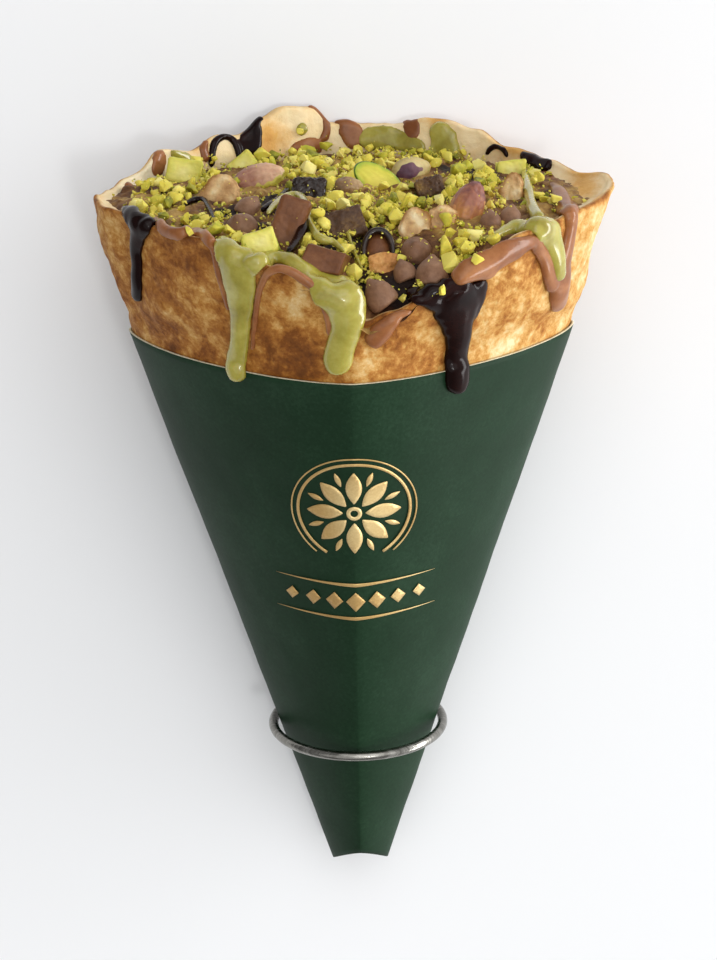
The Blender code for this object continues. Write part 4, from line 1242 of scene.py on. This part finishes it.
# Finish with its colours on the cut side and on the skin, form, and, where skin is left on one patch only,
# the middle and the reach of that patch
KERNEL_LOOKS = {
    "kernel_green_large": (
        "halved_pistachio",
        ((0.06, (104, 144, 34)), (0.18, (158, 184, 44)), (0.36, (216, 210, 68)), (0.8, (238, 224, 94))),
        ((0.25, (88, 122, 32)), (0.5, (114, 146, 42)), (0.75, (140, 168, 58))),
        dict(cut_level=0.16, wrinkle=0.12), None,
    ),
    "kernel_pink_left": (
        "mauve_kernel",
        ((0.1, (142, 134, 40)), (0.4, (190, 178, 74)), (0.8, (214, 196, 110))),
        ((0.25, (118, 76, 74)), (0.42, (168, 118, 98)), (0.58, (196, 152, 122)), (0.75, (214, 178, 140))),
        dict(wrinkle=0.42, seam=0.5), ((0.5, 1.6), (7.6, 3.6)),
    ),
    "kernel_purple": (
        "purple_kernel",
        ((0.1, (164, 140, 70)), (0.35, (205, 184, 122)), (0.7, (226, 208, 158))),
        ((0.25, (72, 42, 62)), (0.5, (112, 74, 92)), (0.75, (150, 112, 110))),
        dict(wrinkle=0.2), ((-0.6, -0.4), (3.6, 2.2)),
    ),
    "kernel_standing": (
        "pink_kernel",
        ((0.1, (170, 112, 62)), (0.4, (206, 146, 94)), (0.8, (226, 182, 130))),
        ((0.28, (196, 140, 66)), (0.42, (182, 124, 74)), (0.56, (150, 94, 72)), (0.74, (104, 58, 62))),
        dict(wrinkle=0.4, seam=0.2), ((2.2, 0.0), (6.6, 4.4)),
    ),
    "kernel_brown": (
        "brown_kernel",
        ((0.1, (150, 130, 60)), (0.7, (190, 164, 90))),
        ((0.3, (104, 78, 52)), (0.5, (150, 118, 82)), (0.7, (180, 150, 104))),
        dict(wrinkle=0.4, seam=0.3), None,
    ),
}


def make_kernels():
    for name, (spot, lift, lean, yaw, size) in KERNELS.items():
        look, stops, skin_stops, form, patch = KERNEL_LOOKS[name]
        matrix = leaning(*spot, lift, lean, yaw)
        bm = shape_kernel(size, matrix, **form)
        if patch:
            patch_kernel(bm, matrix, *patch)
        slot = "kernel_green" if name == "kernel_green_large" else "kernel_skin"
        stand_in(name, bm, kernel_finish(look, stops, skin_stops), slot)


def shape_block(size, matrix, seed, rounding, rough):
    """A broken block with its corners off and a grained surface."""
    bm = bmesh.new()
    side_layer, middle_layer, along_layer = float_layers(bm, "cut_face", "middle", "along")
    made = bmesh.ops.create_cube(bm, size=1.0)["verts"]
    for vert in made:
        vert.co += noise.noise_vector(Vector(size) * 0.37 + vert.co * 1.7) * BLOCK_SKEW
        for axis in range(3):
            vert.co[axis] *= size[axis]
    bmesh.ops.subdivide_edges(bm, edges=bm.edges[:], cuts=1, use_grid_fill=True)
    for vert in bm.verts:
        vert.co += 0.05 * min(size) * noise.noise_vector(vert.co * 0.4 + Vector((seed, 0.0, 0.0)))
    sharp = [edge for edge in bm.edges if len(edge.link_faces) == 2 and edge.calc_face_angle() > 0.7]
    bmesh.ops.bevel(
        bm, geom=sharp, offset=rounding * min(size), segments=3, profile=0.5, affect="EDGES", material=-1
    )
    bmesh.ops.triangulate(bm, faces=bm.faces[:])
    for _ in range(3):
        long_edges = [edge for edge in bm.edges if edge.calc_length() > 0.55]
        if not long_edges:
            break
        bmesh.ops.subdivide_edges(bm, edges=long_edges, cuts=1, use_grid_fill=True)
        bmesh.ops.triangulate(bm, faces=[face for face in bm.faces if len(face.verts) > 3])
    bm.normal_update()
    half = Vector(size) / 2.0
    for vert in bm.verts:
        local = vert.co.copy()
        chips = min(0.0, noise.noise(local * 0.55 + Vector((0.0, seed, 0.0))) + 0.15)
        depth = rough * (noise.noise(local * 1.6 + Vector((seed, 0.0, 0.0))) + 3.0 * chips)
        vert[side_layer] = smooth((vert.normal.z + 0.35 * vert.normal.y + 0.1) / 0.4)
        vert[middle_layer] = clamp(1.0 - max(abs(local.x) / half.x, abs(local.y) / half.y))
        vert[along_layer] = clamp(local.x / size[0] + 0.5)
        vert.co = matrix @ (local + vert.normal * depth)
    return bm


def make_nut_blocks():
    bright = kernel_finish(
        "cut_pistachio",
        ((0.05, (190, 186, 62)), (0.3, (216, 208, 88)), (0.55, (230, 220, 112)), (0.85, (238, 228, 140))),
        ((0.25, (92, 128, 30)), (0.5, (140, 164, 44)), (0.75, (178, 186, 66))),
    )
    for seed, (name, (spot, lift, lean, yaw, size)) in enumerate(NUT_BLOCKS.items()):
        bm = shape_block(size, leaning(*spot, lift, lean, yaw), seed * 3.1, 0.14, 0.14)
        stand_in(name, bm, bright, "kernel_green")


# Chocolate

CHIP_PROFILE = (
    (0.0, -0.5), (0.3, -0.5), (0.41, -0.485), (0.475, -0.43), (0.5, -0.34),
    (0.5, -0.22), (0.487, -0.1), (0.455, 0.02), (0.4, 0.13), (0.32, 0.225),
    (0.235, 0.3), (0.165, 0.36), (0.11, 0.42), (0.06, 0.47), (0.0, 0.49),
)


def shape_chip(size, matrix, seed):
    """A baking chip: its profile spun round its own y, its peak bent a little."""
    width, height = size
    bm = bmesh.new()
    profile = [bm.verts.new((reach * width, rise * height, 0.0)) for reach, rise in CHIP_PROFILE]
    edges = [bm.edges.new(pair) for pair in zip(profile, profile[1:])]
    bmesh.ops.subdivide_edges(bm, edges=edges, cuts=2)
    bmesh.ops.spin(
        bm, geom=bm.verts[:] + bm.edges[:], cent=(0.0, 0.0, 0.0), axis=(0.0, 1.0, 0.0),
        angle=math.tau, steps=56, use_merge=True,
    )
    bmesh.ops.remove_doubles(bm, verts=bm.verts, dist=0.001)
    for vert in bm.verts:
        rise = vert.co.y / height + 0.5
        lumps = noise.noise(vert.co * 0.32 + Vector((seed, 0.0, 0.0)))
        vert.co *= 1.0 + 0.035 * lumps
        vert.co.x += 0.05 * width * rise ** 3 * math.sin(seed * 2.0)
        vert.co.z += 0.05 * width * rise ** 3 * math.cos(seed * 3.0)
        vert.co = matrix @ vert.co
    return bm


def make_chips():
    brown = chocolate_finish(
        "chip_chocolate", ((0.3, (104, 72, 53)), (0.5, (133, 97, 73)), (0.7, (155, 120, 94))), 0.5
    )
    for seed, (name, (spot, lift, lean, yaw, size)) in enumerate(CHIPS.items()):
        matrix = leaning(*spot, lift, lean, yaw)
        if yaw:
            matrix = matrix @ Matrix.Rotation(math.radians(yaw), 4, "X")
        stand_in(name, shape_chip(size, matrix, seed + 1.3), brown, "chip_chocolate", 50.0)


SHELL_STEPS = 40
SHELL_SIDES = 20


def shape_shell(size, matrix, start, end, wall):
    """A bent shell: a rounded bar swept round an arch, its ends closed."""
    width, height, deep = size
    rings = []
    for i in range(SHELL_STEPS + 1):
        angle = mix(start, end, i / SHELL_STEPS)
        middle = Vector((math.cos(angle) * width, math.sin(angle) * height, 0.0))
        outward = Vector((math.cos(angle) / width, math.sin(angle) / height, 0.0)).normalized()
        from_end = min(i, SHELL_STEPS - i) / 3.0
        close = math.sqrt(clamp(1.0 - (1.0 - min(from_end, 1.0)) ** 2, 0.02))
        ring = []
        for k in range(SHELL_SIDES):
            turn = math.tau * k / SHELL_SIDES
            rounded = signed_power(math.cos(turn), 0.6) * wall * close
            across = signed_power(math.sin(turn), 0.6) * deep / 2.0 * (0.75 + 0.25 * close)
            ring.append(matrix @ (middle + outward * rounded + Vector((0.0, 0.0, across))))
        rings.append(ring)
    bm = bmesh.new()
    loft_rings(bm, rings)
    return bm


def make_chunks():
    milk = chocolate_finish(
        "milk_block", ((0.3, (84, 48, 26)), (0.5, (112, 68, 38)), (0.7, (134, 88, 54))), 0.42, pits=0.1
    )
    specked = chocolate_finish(
        "specked_block",
        ((0.32, (52, 34, 24)), (0.5, (84, 58, 38)), (0.62, (120, 90, 50)), (0.72, (176, 146, 78))),
        0.45, pits=0.6,
    )
    dark = chocolate_finish(
        "dark_block", ((0.3, (20, 11, 7)), (0.55, (42, 26, 18)), (0.75, (84, 62, 44))), 0.26, 0.2, 0.25
    )
    finishes = {
        "chunk_square": (milk, 0.08, 0.05), "chunk_specked": (specked, 0.14, 0.3),
        "chunk_crumbly": (specked, 0.2, 0.45), "chunk_dark_back": (dark, 0.2, 0.35),
    }
    for seed, (name, (spot, lift, lean, yaw, size)) in enumerate(CHUNKS.items()):
        finish, rounding, rough = finishes[name]
        bm = shape_block(size, leaning(*spot, lift, lean, yaw), seed * 2.7 + 1.0, rounding, rough)
        slot = "dark_chocolate" if name == "chunk_dark_back" else "milk_chocolate"
        stand_in(name, bm, finish, slot)
    spot, lift, lean, yaw, size = HALF_SHELL
    bm = shape_block(size, leaning(*spot, lift, lean, yaw), 5.5, 0.2, 0.1)
    stand_in("chunk_half_shell", bm, milk, "milk_chocolate")
    spot, lift, lean, yaw, size = CURL
    arch = (size[0] * 0.4, size[1] * 0.5, size[2])
    matrix = leaning(*spot, lift, lean, yaw) @ Matrix.Translation((0.0, -2.0, 0.0))
    stand_in("chunk_curl", shape_shell(arch, matrix, *CURL_ENDS, CURL_WALL), dark, "dark_chocolate")
    heart = (size[0] * 0.74, size[1] * 0.82, size[2] * 0.8)
    matrix = leaning(*spot, lift - 0.6, 0.0, yaw) @ Matrix.Translation((0.0, -1.6, 0.0))
    bm = shape_kernel(heart, matrix, wrinkle=0.1)
    finish_piece("curl_heart", bm, [milk], "milk_chocolate", (), 180.0)


# Torn scraps of crepe

def shape_scrap(size, matrix, seed):
    length, width, thick = size
    bm = bmesh.new()
    bake_layer, inside_layer = float_layers(bm, "bake_and_shade", "inside")
    bmesh.ops.create_grid(bm, x_segments=44, y_segments=44, size=1.0)
    for vert in bm.verts:
        x, y = vert.co.x, vert.co.y
        reach = max(abs(x), abs(y))
        if reach > 0.0:
            round_off = reach / math.hypot(x, y)
            angle = math.atan2(y, x)
            ragged = 1.0 + 0.22 * noise.noise(Vector((math.cos(angle), math.sin(angle), seed)) * 1.4)
            ragged += 0.06 * noise.noise(Vector((math.cos(angle), math.sin(angle), seed)) * 5.0)
            x, y = x * round_off * ragged, y * round_off * ragged
        vert.co = Vector((x * length / 2.0, y * width / 2.0, 0.0))
        edge = smooth((reach - 0.78) / 0.2)
        folds = 0.9 * noise.noise(Vector((x, y, seed)) * 1.5) + 0.3 * noise.noise(Vector((x, y, seed)) * 4.0)
        vert.co.z = thick * 0.2 * folds + 0.15 * thick * (1.0 - edge)
        vert[bake_layer] = 0.2 * edge + 0.4 * noise.noise(Vector((x, y, seed + 3.0)) * 1.6)
        vert[inside_layer] = 0.35
    bmesh.ops.solidify(bm, geom=bm.faces[:], thickness=thick * 0.5)
    for vert in bm.verts:
        vert.co += 0.12 * noise.noise_vector(vert.co * 1.4)
        vert.co = matrix @ vert.co
    return bm


def make_scraps():
    crepe = crepe_finish("torn_crepe")
    orange = chocolate_finish(
        "browned_crepe",
        ((0.3, (146, 92, 44)), (0.46, (200, 140, 78)), (0.6, (224, 172, 106)), (0.75, (170, 108, 56))),
        0.5, pits=0.4,
    )
    for seed, (name, (spot, lift, lean, yaw, size)) in enumerate(SCRAPS.items()):
        bm = shape_scrap(size, leaning(*spot, lift, lean, yaw), seed * 1.9 + 0.7)
        finish = orange if name == "scrap_browned" else crepe
        stand_in(name, bm, finish, "crepe_scrap")


# Sauces: runs that follow the skin, melted into one skin of each kind

# Thickness in millimetres, then the middle of the run in the front view with its half width there
PISTACHIO_RUNS = (
    (2.4, ((222, 240, 8), (230, 251, 15), (236, 264, 21), (239, 284, 18), (240.5, 300, 14.5), (241, 320, 11),
           (239.5, 345, 10.3), (237, 360, 11.5), (237, 372, 11.5), (237, 380, 10))),
    (2.4, ((246, 264, 12), (258, 262, 9), (270, 259, 8), (284, 259, 7.5), (297, 266, 9), (311, 278, 11),
           (326, 291, 15), (343, 302, 20.5), (347, 318, 17.5), (346, 331, 14.5), (341, 346, 14),
           (338, 359, 14.5), (337, 368, 13), (337, 376, 11))),
    (1.8, ((308, 272, 8), (322, 277, 10), (337, 283, 12), (350, 289, 12), (355, 297, 11))),
    (2.4, ((478, 240, 2.5), (493, 237, 4.5), (508, 231, 7), (522, 227, 11), (537, 225, 15), (549, 233, 15),
           (553, 246, 12.5), (556, 258, 11.5), (557, 269, 10.5), (558, 279, 9))),
)
PISTACHIO_STRINGS = (
    (5.4, ((268, 216, 2.6), (276, 206, 3.6), (288, 198, 4), (300, 198, 4.4), (307, 208, 3.8), (310, 222, 3.4),
           (316, 236, 4.4), (324, 242, 5), (334, 244, 3.6), (345, 254, 2.4))),
    (4.0, ((347, 232, 2.4), (354, 252, 2.2), (362, 270, 2))),
    (3.0, ((524.5, 173, 4.6), (527, 187, 5.2), (529, 200, 5.6), (533, 212, 6.6), (539, 221, 7))),
)
MILK_RUNS_AND_SHADOW_LINES = (
    (2.0, ((452, 283, 5), (460, 278, 9), (470, 272, 12), (482, 267, 14), (494, 261, 13), (504, 254, 13),
           (515, 249, 12), (526, 243, 8), (534, 242, 7), (540, 248, 8))),
    (1.8, ((478, 272, 9), (488, 272, 8), (496, 266, 7))),
    (1.6, ((552, 184, 5), (561, 197, 9), (569, 210, 10), (571, 225, 9), (568, 243, 10), (564, 260, 12),
           (561, 276, 14.5), (560, 290, 15), (560, 300, 14), (560, 307, 11))),
    (1.6, ((532, 242, 7), (539, 249, 8), (545, 260, 8), (549, 274, 9), (554, 288, 11))),
    (2.2, ((414, 311, 2), (402, 314, 4), (392, 320, 8), (381, 331, 12.5), (372, 342, 11), (368, 347, 7))),
    (2.6, ((155, 221, 5), (163, 228, 6), (172, 232, 6.4), (184, 233, 6), (196, 233, 6), (206, 237, 6),
           (214, 246, 5.5))),
    # A thin milk border round the bridge of the left pistachio run; its left leg, down that run's right side,
    # is a painted shadow line
    (1.5, ((252, 352, 2.4), (253.5, 332, 3), (256, 308, 3.4), (259.5, 289, 3.8), (267, 274, 4.2),
           (280, 267.5, 4.8), (293, 271, 5.2), (306, 280, 5.4), (317, 291, 5.4), (325, 306, 5),
           (329, 322, 4.2), (330, 338, 3))),
    # A painted shadow line in milk chocolate along the left edge of the left pistachio run
    (1.5, ((213, 246, 3.6), (217, 268, 4), (223, 290, 3.6), (229, 312, 2.8))),
)
DARK_RUNS = (
    (2.6, ((458, 284, 20), (458, 292, 25), (457, 300, 27), (457, 308, 26), (457, 316, 21.5), (457, 324, 17.5),
           (458, 333, 15), (457, 347, 13.3), (457, 365, 14), (457, 380, 13.8), (457, 392, 12))),
    (1.3, ((480, 278, 10), (478, 288, 12), (474, 300, 13.5), (469, 312, 12.5), (464, 325, 11))),
    (1.8, ((408, 300, 3), (422, 301, 6), (434, 303, 9), (446, 308, 12), (452, 318, 12))),
    (1.4, ((404, 294, 6), (420, 292, 9), (438, 290, 10), (456, 288, 10), (472, 286, 9))),
    (2.0, ((131, 210, 6), (134, 214, 10.5), (137, 220, 12.5), (138, 227, 12), (138, 235, 10), (137, 249, 8.2),
           (138, 266, 7.9), (138, 284, 9), (138, 291, 9.2), (138, 299, 8))),
    (1.6, ((124, 207, 4), (129, 213, 7), (134, 222, 9), (137, 232, 9))),
    (1.6, ((168, 218, 2.4), (159, 219, 4.5), (150, 221, 7), (143, 227, 9), (139, 236, 9))),
)
DARK_STRINGS = (
    (2.6, ((184, 207, 2.6), (194, 201, 3.4), (204, 201, 3.4), (210, 210, 3.2), (218, 224, 3), (226, 230, 2))),
    (5.2, ((301, 208, 3.6), (305, 219, 5), (303, 231, 5.5), (297, 243, 5), (289, 254, 3.6))),
    (3.4, ((262, 212, 3), (270, 206, 3.6), (279, 200, 3.4), (288, 190, 3))),
)
# Smears on the crepe's own wall, written the same way
PISTACHIO_SMEARS = (
    (0.9, ((358, 142, 9), (370, 139, 14), (386, 137, 15), (402, 141, 11), (418, 147, 9), (426, 150, 7))),
    (2.2, ((438, 121, 8), (440, 129, 13), (444, 139, 16), (450, 150, 14), (458, 160, 8), (465, 170, 5),
           (467, 177, 4))),
    (1.4, ((428, 150, 9), (438, 152, 10), (448, 151, 9))),
    (1.3, ((296, 131, 6), (302, 129.5, 8), (308, 131, 6))),
    (1.2, ((170, 151, 7), (180, 155, 10), (187, 163, 9), (191, 171, 5))),
)
MILK_SMEARS = (
    (0.7, ((334, 119, 5), (342, 121, 10), (350, 128, 14), (353, 138, 13), (352, 150, 9))),
    (0.7, ((402, 116, 7), (410, 119, 11), (412, 129, 10.5), (409, 142, 7))),
    (0.7, ((307, 104, 3), (316, 108, 4), (324, 117, 5), (327, 130, 5), (323, 142, 6))),
    (0.8, ((290, 154, 7), (300, 149, 9), (312, 146, 10), (322, 152, 6))),
    (0.9, ((153, 147, 5), (157, 152, 9), (159, 163, 10), (154, 176, 8))),
    (0.9, ((124, 184, 5), (131, 190, 10), (137, 199, 12), (141, 210, 9))),
    (1.2, ((532, 174, 6), (544, 181, 11), (557, 191, 14), (567, 204, 10), (573, 214, 9))),
    (0.7, ((206, 137, 4), (204, 148, 6), (206, 163, 6))),
    (1.0, ((434, 158, 8), (450, 166, 9), (464, 171, 6))),
)
DARK_SMEARS = (
    (0.7, ((262, 114, 5), (257, 121, 9), (252, 132, 13), (250, 143, 14), (248, 156, 12))),
    (1.2, ((211, 168, 4), (212, 153, 4.4), (216, 141, 4.8), (225, 136, 4.6), (233, 140, 4.4), (238, 151, 4),
           (240, 164, 4))),
    (1.7, ((521, 153, 5), (530, 158, 9), (540, 163, 11), (551, 169, 8))),
    (1.1, ((486, 156, 2.6), (490, 149, 3.4), (497, 146, 3.6), (504, 150, 3.4), (508, 158, 2.6))),
)
# Piece, slot, finish, its runs, smears and strings, and the solids that it stands for
SAUCES = (
    (
        "pistachio_cream_runs", "pistachio_sauce",
        ("pistachio_cream",
         ((0.35, (140, 128, 40)), (0.5, (160, 150, 58)), (0.65, (178, 168, 80))), 0.26, 0.7, 0.12),
        PISTACHIO_RUNS, PISTACHIO_SMEARS, PISTACHIO_STRINGS,
        ["pistachio_drip_left", "pistachio_drip_centre", "pistachio_drip_right", "pistachio_dollop_back"],
    ),
    (
        "milk_chocolate_runs_and_shadow_lines", "milk_sauce",
        ("milk_chocolate_cream",
         ((0.35, (118, 68, 34)), (0.5, (140, 86, 47)), (0.65, (160, 106, 63))), 0.32, 0.3, 0.05),
        MILK_RUNS_AND_SHADOW_LINES, MILK_SMEARS, (),
        ["milk_band_right", "milk_drip_right", "milk_tongue", "milk_band_left"],
    ),
    (
        "dark_chocolate_runs", "dark_sauce",
        ("dark_chocolate_cream",
         ((0.35, (16, 4, 3)), (0.5, (24, 7, 5)), (0.65, (36, 13, 9))), 0.17, 0.06, 0.0),
        DARK_RUNS, DARK_SMEARS, DARK_STRINGS,
        ["dark_drip_front", "dark_drip_left", "dark_dollop_back", "dark_patch_back"],
    ),
)
RUN_STEP = 0.8
RUN_SIDES = 22
STRING_STEP = 0.6
STRING_SIDES = 12
SAUCE_ROOT = 1.2
SAUCE_GRAIN = 0.5


def run_stations(points, step):
    """Even steps along the smooth middle line, with half widths that close in a round at both ends."""
    fine = []
    for i in range(len(points) - 1):
        before = points[max(i - 1, 0)][0]
        after = points[min(i + 2, len(points) - 1)][0]
        (start, start_half), (end, end_half) = points[i], points[i + 1]
        bend_in = (end - before) / 6.0
        bend_out = (after - start) / 6.0
        a, b = start + bend_in, end - bend_out
        for part in range(12):
            t = part / 12.0
            s = 1.0 - t
            place = start * s ** 3 + a * 3.0 * s * s * t + b * 3.0 * s * t * t + end * t ** 3
            fine.append((place, mix(start_half, end_half, smooth(t))))
    fine.append(points[-1])
    lengths = [0.0]
    for (start, _), (end, _) in zip(fine, fine[1:]):
        lengths.append(lengths[-1] + (end - start).length)
    total = lengths[-1]
    count = max(6, round(total / step))
    stations = []
    i = 0
    for k in range(count + 1):
        place = mix(0.01, total - 0.01, k / count)
        while lengths[i + 1] < place and i < len(fine) - 2:
            i += 1
        share = clamp((place - lengths[i]) / max(lengths[i + 1] - lengths[i], 0.0001))
        half = mix(fine[i][1], fine[i + 1][1], share)
        way = (fine[i + 1][0] - fine[i][0]).normalized()
        from_end = min(place, total - place)
        if from_end < half:
            half *= math.sqrt(max(1.0 - (1.0 - from_end / half) ** 2, 0.01))
        stations.append((fine[i][0].lerp(fine[i + 1][0], share), way, max(half, 0.15)))
    return stations


def evened(values, reach):
    """Each value averaged with its neighbours along a run."""
    even = []
    for i in range(len(values)):
        near = values[max(0, i - reach):i + reach + 1]
        even.append(sum(near[1:], near[0].copy()) / len(near))
    return even


def sauce_run(bm, thickness, path):
    """A fat flattened run along the skin, its lower half sunk into what it lies on."""
    points = [(on_skin(seen(across, down), 0.0), half * STEP) for across, down, half in path]
    stations = run_stations(points, RUN_STEP)
    middles = evened([on_skin(middle, 0.0) for middle, _, _ in stations], 1)
    slopes = []
    for middle, (_, way, half) in zip(middles, stations):
        slope = Vector()
        for shift in (-1.0, 0.0, 1.0):
            slope += skin_slope(middle + way * shift * 2.5).normalized()
        slopes.append((slope - way * slope.dot(way)).normalized())
    slopes = evened(slopes, 4)
    rings = []
    for middle, slope, (_, way, half) in zip(middles, slopes, stations):
        outwards = (slope - way * slope.dot(way)).normalized()
        side = way.cross(outwards).normalized()
        rise = thickness * min(1.0, half / 2.4)
        rise *= 1.0 + 0.12 * grain(middle.x, middle.y, middle.z, 6.0)
        beds = []
        for edge in (-1.0, 0.0, 1.0):
            beds.append(clamp(skin_distance(middle + side * half * edge), -2.2, 2.2))
        ring = []
        for i in range(RUN_SIDES):
            angle = math.tau * i / RUN_SIDES
            height = math.sin(angle) * (rise if math.sin(angle) > 0.0 else SAUCE_ROOT)
            across = math.cos(angle)
            bed = mix(beds[1], beds[2] if across > 0.0 else beds[0], across * across)
            ring.append(middle + side * half * across + outwards * (height - bed))
        rings.append(ring)
    loft_rings(bm, rings)


def wall_seen(wall, across, down):
    """The point of the crepe itself at a place of the front view, or the next one below it."""
    place = None
    while place is None:
        place = wall.ray_cast(CAMERA_PLACE, view_way(across, down))[0]
        down += 1.0
    return place


def sauce_smear(bm, wall, thickness, path):
    """A flat run that clings to the crepe's wall all across its width."""
    points = [(wall_seen(wall, across, down), half * STEP) for across, down, half in path]
    stations = run_stations(points, RUN_STEP)
    slopes = evened([wall.find_nearest(middle)[1] for middle, _, _ in stations], 3)
    rings = []
    for slope, (middle, way, half) in zip(slopes, stations):
        outwards = (slope - way * slope.dot(way)).normalized()
        side = way.cross(outwards).normalized()
        ring = []
        for i in range(RUN_SIDES):
            angle = math.tau * i / RUN_SIDES
            bed = wall.find_nearest(middle + side * half * math.cos(angle))[0]
            edge = 1.0 + 0.14 * grain(bed.x, bed.y, bed.z, 3.0)
            rise = min(thickness, half) * math.sin(angle) if math.sin(angle) > 0.0 else math.sin(angle)
            ring.append(bed + side * half * math.cos(angle) * (edge - 1.0) + outwards * rise)
        rings.append(ring)
    loft_rings(bm, rings)


def sauce_string(bm, lift, path):
    """A thin round string that lies over the pieces."""
    points = [(seen(across, down, lift), half * STEP) for across, down, half in path]
    rings = []
    for middle, way, half in run_stations(points, STRING_STEP):
        outwards = (TO_EATER - way * TO_EATER.dot(way)).normalized()
        side = way.cross(outwards)
        turns = [math.tau * i / STRING_SIDES for i in range(STRING_SIDES)]
        rings.append([middle + (side * math.cos(turn) + outwards * math.sin(turn)) * half for turn in turns])
    loft_rings(bm, rings)


def melt(obj, grain_size, rounds):
    """Joins overlapping runs into one even skin and smooths it, then keeps the result."""
    remesh = obj.modifiers.new("melt", "REMESH")
    remesh.mode = "VOXEL"
    remesh.voxel_size = grain_size * MM
    ease = obj.modifiers.new("ease", "SMOOTH")
    ease.factor = 0.5
    ease.iterations = rounds
    bpy.context.view_layer.update()
    graph = bpy.context.evaluated_depsgraph_get()
    result = bpy.data.meshes.new_from_object(obj.evaluated_get(graph))
    obj.modifiers.clear()
    old = obj.data
    obj.data = result
    bpy.data.meshes.remove(old)
    result.shade_smooth()


def make_sauces(wall):
    for name, slot, look, runs, smears, strings, nodes in SAUCES:
        bm = bmesh.new()
        for thickness, path in runs:
            sauce_run(bm, thickness, path)
        for thickness, path in smears:
            sauce_smear(bm, wall, thickness, path)
        for lift, path in strings:
            sauce_string(bm, lift, path)
        sauce = finish_piece(name, bm, [sauce_finish(*look)], slot, nodes, 180.0)
        melt(sauce, SAUCE_GRAIN, 5)


def main():
    noise.seed_set(BLOCK_SEED)
    make_camera()
    make_light()
    make_floor()
    make_sleeve()
    make_ring()
    make_foil()
    wall = make_crepe()
    make_heap()
    placed = make_chopped()
    make_crumbs(placed)
    make_kernels()
    make_nut_blocks()
    make_chips()
    make_chunks()
    make_scraps()
    make_sauces(wall)


main()
